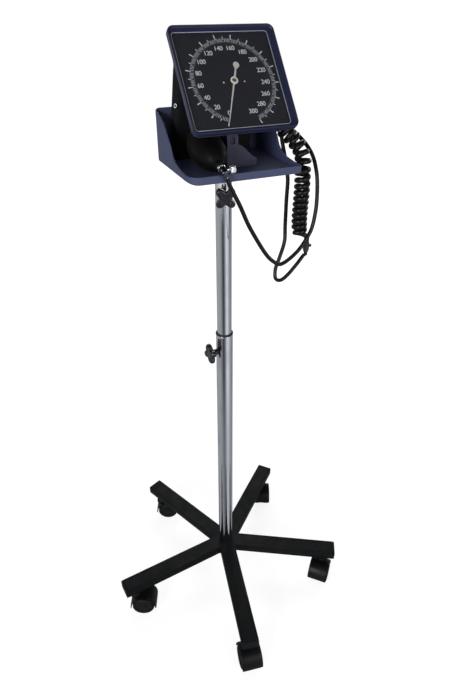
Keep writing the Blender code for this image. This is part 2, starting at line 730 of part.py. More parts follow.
def build_mast(root):
    """Lower tube, its bush, the sliding upper tube and the height knob."""
    bolt_hole = BASE_BOLT_RADIUS + GAP
    lower = turned("lower_tube", [
        (LOWER_TUBE_RADIUS, LOWER_TUBE_LENGTH), (LOWER_TUBE_RADIUS, 0), (bolt_hole, 0),
        (bolt_hole, MAST_FOOT_HEIGHT), (LOWER_BORE, MAST_FOOT_HEIGHT),
        (LOWER_BORE, LOWER_TUBE_LENGTH),
    ])
    place(lower, root, (0, 0, MAST_FOOT))
    x, y = polar(LOWER_TUBE_RADIUS + OVERRUN, HEIGHT_KNOB_DEG)
    knob_height = LOWER_TUBE_TOP - HEIGHT_KNOB_DROP
    cut(lower, rod("height_stud_hole", KNOB_STUD_RADIUS + GAP, (0, 0, knob_height - MAST_FOOT),
                   (x, y, knob_height - MAST_FOOT)))
    as_part(lower, (0.62, 0.63, 0.68), 0.18, 1.0)

    sleeve = LOWER_BORE - GAP
    bore = UPPER_TUBE_RADIUS + RUNNING_GAP
    bush = turned("mast_bush", [
        (BUSH_FLANGE_RADIUS, BUSH_FLANGE_HEIGHT), (BUSH_FLANGE_RADIUS, 0), (sleeve, 0),
        (sleeve, -BUSH_SLEEVE_LENGTH), (bore, -BUSH_SLEEVE_LENGTH), (bore, BUSH_FLANGE_HEIGHT),
    ])
    place(bush, root, (0, 0, LOWER_TUBE_TOP + GAP))
    as_part(bush, (0.02, 0.02, 0.023), 0.45)

    slide = empty("mast_slide", root)
    upper = turned("upper_tube", [
        (UPPER_TUBE_RADIUS, 0), (UPPER_TUBE_RADIUS, -UPPER_TUBE_LENGTH),
        (UPPER_BORE, -UPPER_TUBE_LENGTH), (UPPER_BORE, 0),
    ])
    place(upper, slide, (0, 0, UPPER_TUBE_TOP))
    x, y = polar(UPPER_TUBE_RADIUS + OVERRUN, TRAY_KNOB_DEG)
    tray_knob_height = TRAY_BOTTOM - TRAY_KNOB_DROP
    cut(upper, rod("tray_stud_hole", KNOB_STUD_RADIUS + GAP,
                   (0, 0, tray_knob_height - UPPER_TUBE_TOP),
                   (x, y, tray_knob_height - UPPER_TUBE_TOP)))
    as_part(upper, (0.62, 0.63, 0.68), 0.18, 1.0)

    height_stud = LOWER_TUBE_RADIUS + GAP - (UPPER_TUBE_RADIUS + GAP)
    aim_outward(star_knob("height_knob", HEIGHT_KNOB_NECK, height_stud), root,
                LOWER_TUBE_RADIUS + GAP, HEIGHT_KNOB_DEG, knob_height)
    tray_stud = UPPER_TUBE_RADIUS + GAP - UPPER_BORE
    aim_outward(star_knob("tray_knob", TRAY_KNOB_NECK, tray_stud), slide,
                UPPER_TUBE_RADIUS + GAP, TRAY_KNOB_DEG, tray_knob_height)


def build_tray(head):
    """Open basket whose side walls sweep up to the back, and the socket below it."""
    socket = turned("tray_socket", [
        (0, -GAP), (SOCKET_FLANGE_RADIUS, -GAP),
        (SOCKET_FLANGE_RADIUS, -GAP - SOCKET_FLANGE_HEIGHT),
        (UPPER_BORE - GAP, -GAP - SOCKET_FLANGE_HEIGHT), (UPPER_BORE - GAP, -SPIGOT_LENGTH),
        (0, -SPIGOT_LENGTH),
    ])
    place(socket, head)
    as_part(socket, (0.02, 0.02, 0.025), 0.45)

    middle = (0, (TRAY_FRONT + TRAY_BACK) / 2)
    tray = plate("tray", [rounded_rectangle(TRAY_WIDTH, TRAY_DEPTH, TRAY_CORNER_RADIUS, middle)],
                 TRAY_BACK_HEIGHT)
    transform(tray, Matrix.Translation((0, 0, TRAY_BACK_HEIGHT / 2)))
    place(tray, head)
    inner = plate("tray_inside", [rounded_rectangle(
        TRAY_WIDTH - 2 * TRAY_WALL, TRAY_DEPTH - 2 * TRAY_WALL,
        TRAY_CORNER_RADIUS - TRAY_WALL, middle)], TRAY_BACK_HEIGHT)
    cut(tray, transform(inner, Matrix.Translation((0, 0, TRAY_FLOOR + TRAY_BACK_HEIGHT / 2))))
    rise = TRAY_BACK_HEIGHT - TRAY_LIP_HEIGHT
    rim = [(TRAY_FRONT - OVERRUN, TRAY_LIP_HEIGHT)]
    for depth_share, rise_share in zip(RIM_DEPTH_SHARES, RIM_RISE_SHARES):
        rim.append((TRAY_FRONT + TRAY_DEPTH * depth_share, TRAY_LIP_HEIGHT + rise * rise_share))
    rim.append((TRAY_BACK, TRAY_BACK_HEIGHT))
    rim.append((TRAY_BACK, TRAY_BACK_HEIGHT + OVERRUN))
    rim.append((TRAY_FRONT - OVERRUN, TRAY_BACK_HEIGHT + OVERRUN))
    above = plate("tray_above_rim", [rim], TRAY_WIDTH + 2 * OVERRUN)
    sideways = Matrix.Rotation(math.pi / 2, 4, "Z") @ Matrix.Rotation(math.pi / 2, 4, "X")
    cut(tray, transform(above, sideways))
    as_part(tray, (0.045, 0.05, 0.11), 0.4)


def stand_outline():
    """Front view of the stand: a stem with a foot that sweeps out to the right."""
    low = TRAY_FLOOR + GAP
    foot_top = low + STAND_FOOT_HEIGHT
    run = STAND_FOOT_RIGHT - STAND_RIGHT
    points = [(STAND_LEFT, low), (STAND_FOOT_RIGHT, low), (STAND_FOOT_RIGHT, foot_top)]
    for run_share, rise_share in zip(WEB_RUN_SHARES, WEB_RISE_SHARES):
        points.append((STAND_RIGHT + run * run_share, foot_top + STAND_WEB_RISE * rise_share))
    points.append((STAND_RIGHT, foot_top + STAND_WEB_RISE))
    points.append((STAND_RIGHT, HINGE_RISE + STAND_EAR_RADIUS))
    points.append((STAND_LEFT, HINGE_RISE + STAND_EAR_RADIUS))
    return points


def build_stand(head):
    """Bracket that carries the gauge, and the bolt of its tilt hinge."""
    upright = Matrix.Rotation(math.pi / 2, 4, "X")
    back = HINGE_Y + STAND_EAR_RADIUS
    stand = plate("gauge_stand", [stand_outline()], STAND_DEPTH)
    transform(stand, Matrix.Translation((0, back - STAND_DEPTH / 2, 0)) @ upright)
    place(stand, head)
    front = back - STAND_DEPTH
    side = [(front - OVERRUN, -OVERRUN), (back + OVERRUN, -OVERRUN),
            (back + OVERRUN, HINGE_RISE)]
    for step in range(SMALL_STEPS + 1):
        y, z = polar(STAND_EAR_RADIUS, 180 / SMALL_STEPS * step)
        side.append((HINGE_Y + y, HINGE_RISE + z))
    side.append((front, STAND_SHOULDER_RISE))
    side.append((front - OVERRUN, STAND_SHOULDER_RISE))
    sideways = Matrix.Rotation(math.pi / 2, 4, "Z") @ Matrix.Rotation(math.pi / 2, 4, "X")
    width = 2 * (STAND_FOOT_RIGHT + OVERRUN)
    combine(stand, transform(plate("stand_side_view", [side], width), sideways), "INTERSECT")
    slot = [(-SLOT_WIDTH / 2, 0), (SLOT_WIDTH / 2, 0)]
    for step in range(SMALL_STEPS // 2 + 1):
        x, z = polar(SLOT_WIDTH / 2, 360 / SMALL_STEPS * step)
        slot.append((x, z + SLOT_HEIGHT - SLOT_WIDTH / 2))
    slot_tool = plate("stand_slot", [slot], 2 * SLOT_DEPTH)
    middle = (STAND_LEFT + STAND_RIGHT) / 2
    cut(stand, transform(slot_tool, Matrix.Translation((middle, front, SLOT_RISE)) @ upright))
    hinge = Vector((0, HINGE_Y, HINGE_RISE))
    cut(stand, rod("stand_bolt_hole", TILT_BOLT_RADIUS + GAP,
                   hinge + Vector((STAND_LEFT - OVERRUN, 0, 0)),
                   hinge + Vector((STAND_RIGHT + OVERRUN, 0, 0))))
    as_part(stand, (0.022, 0.024, 0.05), 0.4)

    left = STAND_LEFT - 2 * GAP - LUG_THICKNESS
    right = STAND_RIGHT + 2 * GAP + LUG_THICKNESS
    bolt = turned("tilt_bolt", [
        (0, right + TILT_BOLT_HEAD_HEIGHT), (TILT_BOLT_HEAD_RADIUS, right + TILT_BOLT_HEAD_HEIGHT),
        (TILT_BOLT_HEAD_RADIUS, right), (TILT_BOLT_RADIUS, right), (TILT_BOLT_RADIUS, left),
        (TILT_BOLT_HEAD_RADIUS, left), (TILT_BOLT_HEAD_RADIUS, left - TILT_BOLT_HEAD_HEIGHT),
        (0, left - TILT_BOLT_HEAD_HEIGHT),
    ], SMALL_STEPS)
    place(bolt, head, hinge, (0, math.pi / 2, 0))
    as_part(bolt, (0.5, 0.5, 0.52), 0.3, 1.0)


def ring_of(width, height, radius, depth):
    """Rounded rectangle in the gauge's XZ plane at a depth behind the case's front."""
    centre = (0, HINGE_BELOW_CENTRE)
    return [Vector((x, FRONT_Y + depth, z))
            for x, z in rounded_rectangle(width, height, radius, centre)]


def gauge_plate(name, outlines, front_depth, thickness):
    """Flat piece parallel to the dial, with its front face at a depth."""
    piece = plate(name, outlines, thickness)
    turn = Matrix.Rotation(math.pi / 2, 4, "X")
    shift = Matrix.Translation((0, FRONT_Y + front_depth + thickness / 2, 0))
    return transform(piece, shift @ turn)


def gauge_rod(name, radius, x, z, front_depth, rear_depth, steps=SMALL_STEPS):
    """Rod square to the dial between two depths."""
    return rod(name, radius, (x, FRONT_Y + front_depth, z), (x, FRONT_Y + rear_depth, z), steps)


def case_shell(name):
    """Open surface of the case's back: a square rim that tapers to a smaller floor."""
    bm = bmesh.new()
    back_size = CASE_SIZE - 2 * CASE_TAPER
    back_radius = CASE_CORNER_RADIUS * back_size / CASE_SIZE
    levels = (
        ring_of(CASE_SIZE, CASE_SIZE, CASE_CORNER_RADIUS, BEZEL_DEPTH + GAP),
        ring_of(CASE_SIZE, CASE_SIZE, CASE_CORNER_RADIUS, CASE_RIM_DEPTH),
        ring_of(back_size, back_size, back_radius, CASE_DEPTH),
    )
    rings = [[bm.verts.new(point) for point in level] for level in levels]
    count = len(rings[0])
    for front, rear in zip(rings, rings[1:]):
        for i in range(count):
            j = (i + 1) % count
            bm.faces.new((front[i], rear[i], rear[j], front[j]))
    bm.faces.new(rings[-1][::-1])
    shell = bmesh_object(name, bm)
    wall = shell.modifiers.new("wall", "SOLIDIFY")
    wall.thickness = CASE_WALL
    wall.offset = -1.0
    wall.use_even_offset = True
    return shell


def build_case(gauge):
    """Case back with its hinge lugs, bezel, lens and dial."""
    centre = (0, HINGE_BELOW_CENTRE)
    back = applied(case_shell("case_back"))
    place(back, gauge)
    floor_y = FRONT_Y + CASE_DEPTH
    for word, inner in (("left", STAND_LEFT - GAP - LUG_THICKNESS), ("right", STAND_RIGHT + GAP)):
        outline = [(-LUG_RADIUS, floor_y - CASE_WALL / 2), (LUG_RADIUS, floor_y - CASE_WALL / 2)]
        for step in range(SMALL_STEPS // 2 + 1):
            outline.append(polar(LUG_RADIUS, 360 / SMALL_STEPS * step))
        lug = plate(f"{word}_lug", [outline], LUG_THICKNESS)
        turn = Matrix.Rotation(-math.pi / 2, 4, "Y") @ Matrix.Rotation(math.pi, 4, "Y")
        shift = Matrix.Translation((inner + LUG_THICKNESS / 2, 0, 0))
        join(back, transform(lug, shift @ turn))
    cut(back, rod("lug_bolt_hole", TILT_BOLT_RADIUS + RUNNING_GAP,
                  (STAND_LEFT - LUG_THICKNESS - OVERRUN, 0, 0),
                  (STAND_RIGHT + LUG_THICKNESS + OVERRUN, 0, 0)))
    port_x = (PORT_BLOCK_LEFT + PORT_BLOCK_RIGHT) / 2
    cut(back, gauge_rod("port_hole", PORT_SPIGOT_RADIUS + GAP, port_x, 0,
                        CASE_DEPTH - OVERRUN, CASE_DEPTH + OVERRUN))
    as_part(back, (0.030, 0.034, 0.085), 0.42)

    opening_width = CASE_SIZE - 2 * BEZEL_SIDE
    opening_height = CASE_SIZE - 2 * BEZEL_HEAD
    opening = rounded_rectangle(opening_width, opening_height, BEZEL_OPENING_RADIUS, centre)
    outer = rounded_rectangle(CASE_SIZE, CASE_SIZE, CASE_CORNER_RADIUS, centre)
    bezel = gauge_plate("bezel", [outer, opening], 0, BEZEL_DEPTH)
    place(bezel, gauge)
    seat_width = opening_width + 2 * BEZEL_REBATE
    seat_height = opening_height + 2 * BEZEL_REBATE
    seat_radius = BEZEL_OPENING_RADIUS + BEZEL_REBATE
    rebate = [rounded_rectangle(seat_width, seat_height, seat_radius, centre)]
    cut(bezel, gauge_plate("bezel_rebate", rebate, BEZEL_LIP, BEZEL_DEPTH))
    as_part(bezel, (0.030, 0.034, 0.085), 0.35)

    insert = rounded_rectangle(seat_width - 2 * GAP, seat_height - 2 * GAP,
                               seat_radius - GAP, centre)
    lens = gauge_plate("lens", [insert], BEZEL_LIP + GAP, LENS_THICKNESS)
    as_part(place(lens, gauge), (0.85, 0.88, 0.90), 0.05, 0.0, 0.25)
    dial = gauge_plate("dial", [insert], DIAL_FRONT_DEPTH, DIAL_THICKNESS)
    place(dial, gauge)
    cut(dial, gauge_rod("dial_hole", DIAL_HOLE_RADIUS, 0, HINGE_BELOW_CENTRE,
                        DIAL_FRONT_DEPTH - OVERRUN, DIAL_FRONT_DEPTH + OVERRUN))
    as_part(dial, (0.02, 0.021, 0.026), 0.4)


def build_pointer(gauge):
    """Pointer, and the arbor that turns it, with their origins on the dial's axis."""
    axis = (0, 0, HINGE_BELOW_CENTRE)
    half, tip = POINTER_WIDTH / 2, POINTER_TIP_WIDTH / 2
    blade_depth = DIAL_FRONT_DEPTH - POINTER_LIFT - POINTER_THICKNESS
    blade = plate("pointer", [[
        (-POINTER_TAIL, -half), (POINTER_HUB_RADIUS, -half), (POINTER_TIP, -tip),
        (POINTER_TIP, tip), (POINTER_HUB_RADIUS, half), (-POINTER_TAIL, half),
    ]], POINTER_THICKNESS)
    join(blade, rod("pointer_tail_disc", POINTER_DISC_RADIUS,
                    (-POINTER_TAIL, 0, -POINTER_THICKNESS / 2),
                    (-POINTER_TAIL, 0, POINTER_THICKNESS / 2), SMALL_STEPS))
    join(blade, rod("pointer_hub", POINTER_HUB_RADIUS, (0, 0, -POINTER_THICKNESS / 2),
                    (0, 0, POINTER_THICKNESS), SMALL_STEPS))
    cut(blade, rod("pointer_bore", ARBOR_RADIUS + GAP, (0, 0, -OVERRUN), (0, 0, OVERRUN)))
    turn = Matrix.Rotation(math.pi / 2, 4, "X")
    turn = turn @ Matrix.Rotation(math.radians(POINTER_ZERO_DEG), 4, "Z")
    shift = Matrix.Translation((0, FRONT_Y + blade_depth + POINTER_THICKNESS / 2, 0))
    for piece in [blade] + [m.object for m in blade.modifiers]:
        transform(piece, shift @ turn)
    as_part(place(blade, gauge, axis), (0.85, 0.85, 0.83), 0.4)

    gear_depth = (FRAME_FRONT_DEPTH + FRAME_PLATE_THICKNESS + FRAME_REAR_DEPTH - PINION_WIDTH) / 2
    pinion = gauge_plate("pinion_arbor", [gear_outline(PINION_RADIUS, TOOTH_DEPTH, PINION_TEETH,
                                                       0, 360)], gear_depth, PINION_WIDTH)
    join(pinion, gauge_rod("arbor", ARBOR_RADIUS, 0, 0, blade_depth,
                           FRAME_REAR_DEPTH + FRAME_PLATE_THICKNESS))
    as_part(place(pinion, gauge, axis), (0.75, 0.58, 0.28), 0.3, 1.0)


def build_movement(gauge):
    """Frame plates on two pillars, the sector gear and the pressure capsule."""
    centre_z = HINGE_BELOW_CENTRE
    pivot_z = centre_z - PINION_RADIUS - SECTOR_RADIUS - GAP
    arm = pivot_z - centre_z
    middle = (0, centre_z + arm / 2)
    height = FRAME_HEIGHT + abs(arm)
    outline = rounded_rectangle(FRAME_WIDTH, height, FRAME_CORNER_RADIUS, middle)
    frame = gauge_plate("movement_frame", [outline], FRAME_FRONT_DEPTH, FRAME_PLATE_THICKNESS)
    join(frame, gauge_plate("frame_rear_plate", [outline], FRAME_REAR_DEPTH,
                            FRAME_PLATE_THICKNESS))
    dial_back = DIAL_FRONT_DEPTH + DIAL_THICKNESS
    for side in (-1, 1):
        join(frame, gauge_rod(f"pillar_{side}", PILLAR_RADIUS, side * PILLAR_REACH, middle[1],
                              dial_back + GAP, CASE_DEPTH - CASE_WALL - GAP, SMALL_STEPS))
    cut(frame, gauge_rod("arbor_bearing", ARBOR_RADIUS + RUNNING_GAP, 0, centre_z,
                         FRAME_FRONT_DEPTH - OVERRUN, FRAME_REAR_DEPTH + OVERRUN))
    cut(frame, gauge_rod("sector_bearing", SECTOR_PIN_RADIUS + RUNNING_GAP, 0, pivot_z,
                         FRAME_FRONT_DEPTH - OVERRUN, FRAME_REAR_DEPTH + OVERRUN))
    place(frame, gauge)
    as_part(frame, (0.72, 0.56, 0.30), 0.3, 1.0)

    gear_middle = (FRAME_FRONT_DEPTH + FRAME_PLATE_THICKNESS + FRAME_REAR_DEPTH) / 2
    half_spread = SECTOR_SPREAD_DEG / 2
    swing = POINTER_SWEEP_DEG * PINION_RADIUS / SECTOR_RADIUS
    heading = 90 - swing / 2
    teeth = gear_outline(SECTOR_RADIUS, TOOTH_DEPTH, SECTOR_TEETH, heading - half_spread,
                         heading + half_spread)
    tail = [polar(SECTOR_TAIL_RADIUS, heading + degrees) for degrees in (90, 135, 180, 225, 270)]
    sector = gauge_plate("sector_gear", [teeth + tail], gear_middle - SECTOR_THICKNESS / 2,
                         SECTOR_THICKNESS)
    join(sector, gauge_rod("sector_pin", SECTOR_PIN_RADIUS, 0, 0, FRAME_FRONT_DEPTH,
                           FRAME_REAR_DEPTH + FRAME_PLATE_THICKNESS))
    as_part(place(sector, gauge, (0, 0, pivot_z)), (0.75, 0.58, 0.28), 0.3, 1.0)

    floor_depth = CASE_DEPTH - CASE_WALL - GAP
    front_depth = floor_depth - CAPSULE_HEIGHT
    profile = [(0, CAPSULE_HEIGHT + CAPSULE_RIB_DEPTH), (CAPSULE_BOSS_RADIUS, CAPSULE_HEIGHT
                                                         + CAPSULE_RIB_DEPTH)]
    ring = (CAPSULE_RADIUS - CAPSULE_BOSS_RADIUS) / (2 * CAPSULE_RIBS + 1)
    for rib in range(2 * CAPSULE_RIBS):
        dip = CAPSULE_RIB_DEPTH if rib % 2 == 0 else 0
        profile.append((CAPSULE_BOSS_RADIUS + ring * (rib + 1), CAPSULE_HEIGHT - dip))
    profile += [(CAPSULE_RADIUS, CAPSULE_HEIGHT - CAPSULE_RIB_DEPTH), (CAPSULE_RADIUS, 0), (0, 0)]
    capsule = applied(turned("diaphragm_capsule", profile))
    transform(capsule, Matrix.Translation((0, front_depth + CAPSULE_HEIGHT + FRONT_Y, centre_z))
              @ Matrix.Rotation(math.pi / 2, 4, "X"))
    port_x = (PORT_BLOCK_LEFT + PORT_BLOCK_RIGHT) / 2
    pipe_depth = floor_depth - CAPSULE_PIPE_RADIUS - CAPSULE_RIB_DEPTH
    pipe_y = FRONT_Y + pipe_depth
    start = Vector((0, pipe_y, centre_z))
    end = Vector((port_x, pipe_y, 0))
    reach = (end - start).length - PORT_SPIGOT_RADIUS - 2 * GAP
    way = (end - start).normalized()
    join(capsule, rod("capsule_pipe", CAPSULE_PIPE_RADIUS, start + way * CAPSULE_RADIUS / 2,
                      start + way * reach, SMALL_STEPS))
    as_part(place(capsule, gauge), (0.72, 0.60, 0.36), 0.3, 1.0)


def build_port(gauge):
    """Hose port on the case's back, in line with the tilt hinge."""
    port_x = (PORT_BLOCK_LEFT + PORT_BLOCK_RIGHT) / 2
    near = CASE_DEPTH + GAP
    half = PORT_BLOCK_HEIGHT / 2
    port = box("gauge_port", (PORT_BLOCK_LEFT, FRONT_Y + near, -half),
               (PORT_BLOCK_RIGHT, FRONT_Y + near + PORT_BLOCK_DEPTH, half))
    round_edges(port, KNOB_EDGE_RADIUS)
    join(port, gauge_rod("port_spigot", PORT_SPIGOT_RADIUS, port_x, 0,
                         CASE_DEPTH - PORT_SPIGOT_LENGTH, near + PORT_BLOCK_DEPTH / 2))
    join(port, rod("port_nozzle", PORT_NOZZLE_RADIUS, (port_x, 0, 0), (PORT_NOZZLE_END, 0, 0)))
    cut(port, rod("port_bore", PORT_BORE_RADIUS, (port_x, 0, 0), (PORT_NOZZLE_END + OVERRUN, 0, 0)))
    as_part(place(port, gauge), (0.02, 0.02, 0.022), 0.4)


def bulb_centre_rise():
    """Height of the bulb's middle when it lies on the tray's floor."""
    pitch = math.radians(BULB_PITCH_DEG)
    lowest = math.hypot(BULB_HALF_LENGTH * math.sin(pitch), BULB_RADIUS * math.cos(pitch))
    return TRAY_FLOOR + GAP + lowest


def build_bulb(head):
    """Rubber bulb, its two valves and the release screw; local +Z runs to the hose."""
    carrier = empty("bulb_axis", head, (BULB_X, BULB_Y, bulb_centre_rise()),
                    (math.pi / 2 + math.radians(BULB_PITCH_DEG), 0, math.radians(BULB_YAW_DEG)))
    profile = [(0, BULB_NECK_REACH), (BULB_NECK_RADIUS, BULB_NECK_REACH)]
    start = math.asin(BULB_NECK_RADIUS / BULB_RADIUS)
    for step in range(BULB_POINTS):
        angle = start + (math.pi - start) * step / (BULB_POINTS - 1)
        radius = BULB_RADIUS * math.sin(angle) if step < BULB_POINTS - 1 else 0
        profile.append((radius, BULB_HALF_LENGTH * math.cos(angle)))
    bulb = applied(turned("bulb", profile, BULB_STEPS))
    place(bulb, carrier)
    cut(bulb, rod("bulb_mouth", VALVE_SPIGOT_RADIUS + GAP,
                  (0, 0, BULB_NECK_REACH - VALVE_SPIGOT_LENGTH), (0, 0, BULB_NECK_REACH + OVERRUN)))
    rear = -BULB_HALF_LENGTH
    cut(bulb, rod("bulb_rear_mouth", INLET_SPIGOT_RADIUS + GAP, (0, 0, rear - OVERRUN),
                  (0, 0, rear + INLET_SPIGOT_LENGTH)))
    as_part(bulb, (0.015, 0.015, 0.017), 0.45)

    low = BULB_NECK_REACH + GAP
    high = low + VALVE_COLLAR_LENGTH + VALVE_LENGTH
    valve = applied(turned("valve_body", [
        (0, high), (VALVE_RADIUS, high), (VALVE_RADIUS, low + VALVE_COLLAR_LENGTH),
        (VALVE_COLLAR_RADIUS, low + VALVE_COLLAR_LENGTH), (VALVE_COLLAR_RADIUS, low),
        (VALVE_SPIGOT_RADIUS, low), (VALVE_SPIGOT_RADIUS, low + GAP - VALVE_SPIGOT_LENGTH),
        (0, low + GAP - VALVE_SPIGOT_LENGTH),
    ], SMALL_STEPS))
    place(valve, carrier)
    root, tip = nozzle_ends(high)
    join(valve, rod("valve_nozzle", NOZZLE_RADIUS, root, tip))
    cut(valve, rod("screw_seat", SCREW_STEM_RADIUS + GAP,
                   (VALVE_RADIUS - SCREW_SEAT_DEPTH, 0, SCREW_REACH),
                   (VALVE_RADIUS + OVERRUN, 0, SCREW_REACH)))
    as_part(valve, (0.66, 0.67, 0.70), 0.15, 1.0)

    outline = []
    steps = SCREW_KNURLS * KNURL_STEPS
    for step in range(steps):
        dip = SCREW_KNURL_DEPTH if step % KNURL_STEPS < KNURL_STEPS / 2 else 0
        outline.append(polar(SCREW_KNOB_RADIUS - dip, 360 / steps * step))
    screw = plate("release_screw", [outline], SCREW_KNOB_LENGTH)
    transform(screw, Matrix.Translation((0, 0, SCREW_STEM_LENGTH + SCREW_KNOB_LENGTH / 2)))
    join(screw, rod("screw_stem", SCREW_STEM_RADIUS, (0, 0, GAP - SCREW_SEAT_DEPTH),
                    (0, 0, SCREW_STEM_LENGTH + SCREW_KNOB_LENGTH / 2), SMALL_STEPS))
    place(screw, carrier, (VALVE_RADIUS, 0, SCREW_REACH), (0, math.pi / 2, 0))
    as_part(screw, (0.66, 0.67, 0.70), 0.2, 1.0)

    inlet = turned("bulb_inlet_valve", [
        (0, rear + INLET_SPIGOT_LENGTH - GAP),
        (INLET_SPIGOT_RADIUS, rear + INLET_SPIGOT_LENGTH - GAP),
        (INLET_SPIGOT_RADIUS, rear - GAP), (INLET_RADIUS, rear - GAP),
        (INLET_RADIUS, rear - GAP - INLET_LENGTH), (0, rear - GAP - INLET_LENGTH),
    ], SMALL_STEPS)
    as_part(place(inlet, carrier), (0.66, 0.67, 0.70), 0.2, 1.0)
    return carrier


def nozzle_ends(valve_end):
    """Root and tip of the valve's hose nozzle in the bulb's frame."""
    root = Vector((0, 0, valve_end - VALVE_RADIUS))
    aim = Vector((math.sin(math.radians(NOZZLE_SIDE_DEG)), -math.cos(math.radians(NOZZLE_SIDE_DEG)),
                  math.sin(math.radians(NOZZLE_FORWARD_DEG))))
    return root, root + aim.normalized() * NOZZLE_LENGTH


def build_cuff(head):
    """Folded arm cuff standing in the back of the tray."""
    centre = (0, CUFF_FRONT + CUFF_THICKNESS / 2)
    cuff = plate("cuff", [rounded_rectangle(CUFF_WIDTH, CUFF_THICKNESS, CUFF_FOLD_RADIUS, centre)],
                 CUFF_HEIGHT)
    transform(cuff, Matrix.Translation((0, 0, TRAY_FLOOR + GAP + CUFF_HEIGHT / 2)))
    round_edges(cuff, CUFF_EDGE_RADIUS)
    as_part(place(cuff, head), (0.012, 0.012, 0.014), 0.8)


def coil_points():
    """Points of the coiled hose from the gauge port to the connector."""
    port = np.array((PORT_NOZZLE_END + GAP, HINGE_Y, HINGE_RISE))
    lead_in = port + np.array((HOSE_DIAMETER, 0, 0))
    block = np.array(CONNECTOR_PLACE)
    landing = block + np.array((0, 0, CONNECTOR_HEIGHT / 2 + GAP))
    lead_out = landing + np.array((0, 0, HOSE_DIAMETER))
    step = COIL_WIDE_PITCH / COIL_STEPS_PER_CURL
    line = smooth_line(COIL_ROUTE, step)
    tangents = np.gradient(line, axis=0)
    tangents /= np.linalg.norm(tangents, axis=1)[:, None]
    length = step * (len(line) - 1)
    side = np.cross(tangents[0], (0.0, 1.0, 0.0))
    side /= np.linalg.norm(side)
    points = []
    phase, travelled, next_phase = 0.0, 0.0, 0.0
    for i, (middle, tangent) in enumerate(zip(line, tangents)):
        side = side - tangent * np.dot(side, tangent)
        side /= np.linalg.norm(side)
        up = np.cross(tangent, side)
        share = travelled / length
        blend = 1 / (1 + math.exp((COIL_EASE_SHARE - share) * COIL_EASE_STEEPNESS))
        pitch = COIL_WIDE_PITCH + (COIL_TIGHT_PITCH - COIL_WIDE_PITCH) * blend
        if phase >= next_phase:
            angle = 2 * math.pi * phase
            points.append(middle + COIL_RADIUS * (math.cos(angle) * side + math.sin(angle) * up))
            next_phase += 1 / COIL_POINTS_PER_CURL
        phase += step / pitch
        travelled += step
    points = np.array(points)
    pull = 2 * math.pi * COIL_RADIUS / COIL_POINTS_PER_CURL
    start_speed = (points[1] - points[0]) / np.linalg.norm(points[1] - points[0])
    end_speed = (points[-1] - points[-2]) / np.linalg.norm(points[-1] - points[-2])
    span_in = np.linalg.norm(points[0] - lead_in)
    span_out = np.linalg.norm(points[-1] - lead_out)
    head = hermite(lead_in, np.array((1.0, 0, 0)) * span_in, points[0], start_speed * span_in,
                   max(1, round(span_in / pull)))
    tail = hermite(points[-1], end_speed * span_out, lead_out,
                   np.array((0, 0, -1.0)) * span_out, max(1, round(span_out / pull)))
    return np.array([port, lead_in, *head, *points, *tail, lead_out, landing])


def least_gap_to_itself(points, diameter):
    """Least free space between stretches of a tube that are not neighbours."""
    run = np.concatenate([[0], np.cumsum(np.linalg.norm(np.diff(points, axis=0), axis=1))])
    wanted = np.arange(0, run[-1], diameter / 6)
    fine = np.stack([np.interp(wanted, run, points[:, k]) for k in range(3)], axis=1)
    least = math.inf
    for i in range(len(fine)):
        far = fine[wanted > wanted[i] + math.pi * diameter]
        if len(far):
            least = min(least, np.linalg.norm(far - fine[i], axis=1).min())
    return least - diameter


def build_hoses(head, bulb_axis):
    """Coiled hose, its connector and the two plain hoses."""
    coil = coil_points()
    gap = least_gap_to_itself(coil, HOSE_DIAMETER)
    print("coil: least gap to itself, mm:", round(1000 * gap, 3))
    as_part(place(hose("coil", coil, 1), head), (0.012, 0.012, 0.014), 0.45)

    block = Vector(CONNECTOR_PLACE)
    half = CONNECTOR_WIDTH / 2
    tall = CONNECTOR_HEIGHT / 2
    reach = Vector((half, half, tall))
    connector = box("connector", block - reach, block + reach)
    round_edges(connector, KNOB_EDGE_RADIUS)
    join(connector, rod("connector_nub", CONNECTOR_NUB_RADIUS, block,
                        block + Vector((half + CONNECTOR_NUB_LENGTH, 0, 0)), SMALL_STEPS))
    as_part(place(connector, head), (0.02, 0.02, 0.022), 0.4)

    below = block - Vector((0, 0, tall + GAP))
    plain_hose("cuff_tube", head, below, Vector((0, 0, -1)), CUFF_TUBE_ROUTE, CUFF_TUBE_END)

    bpy.context.view_layer.update()
    to_head = head.matrix_world.inverted() @ bulb_axis.matrix_world
    valve_end = BULB_NECK_REACH + GAP + VALVE_COLLAR_LENGTH + VALVE_LENGTH
    root, tip = nozzle_ends(valve_end)
    away = (tip - root).normalized()
    mouth = to_head @ (tip + away * GAP)
    aim = to_head.to_3x3() @ away
    plain_hose("bulb_tube", head, mouth, aim, BULB_TUBE_ROUTE, BULB_TUBE_END)


def plain_hose(name, head, start, aim, route, cuff_place):
    """Hose that leaves a mouth along its aim and ends square on the cuff's front."""
    to_cuff = Vector((0, 1, 0))
    end = Vector((cuff_place[0], CUFF_FRONT - GAP, cuff_place[1]))
    after_start = start + aim * HOSE_DIAMETER
    before_end = end - to_cuff * HOSE_DIAMETER
    middle = smooth_line([tuple(after_start), *route, tuple(before_end)], HOSE_SPACING)
    tube = hose(name, [tuple(start), *middle, tuple(end)], 2)
    return as_part(place(tube, head), (0.012, 0.012, 0.014), 0.45)


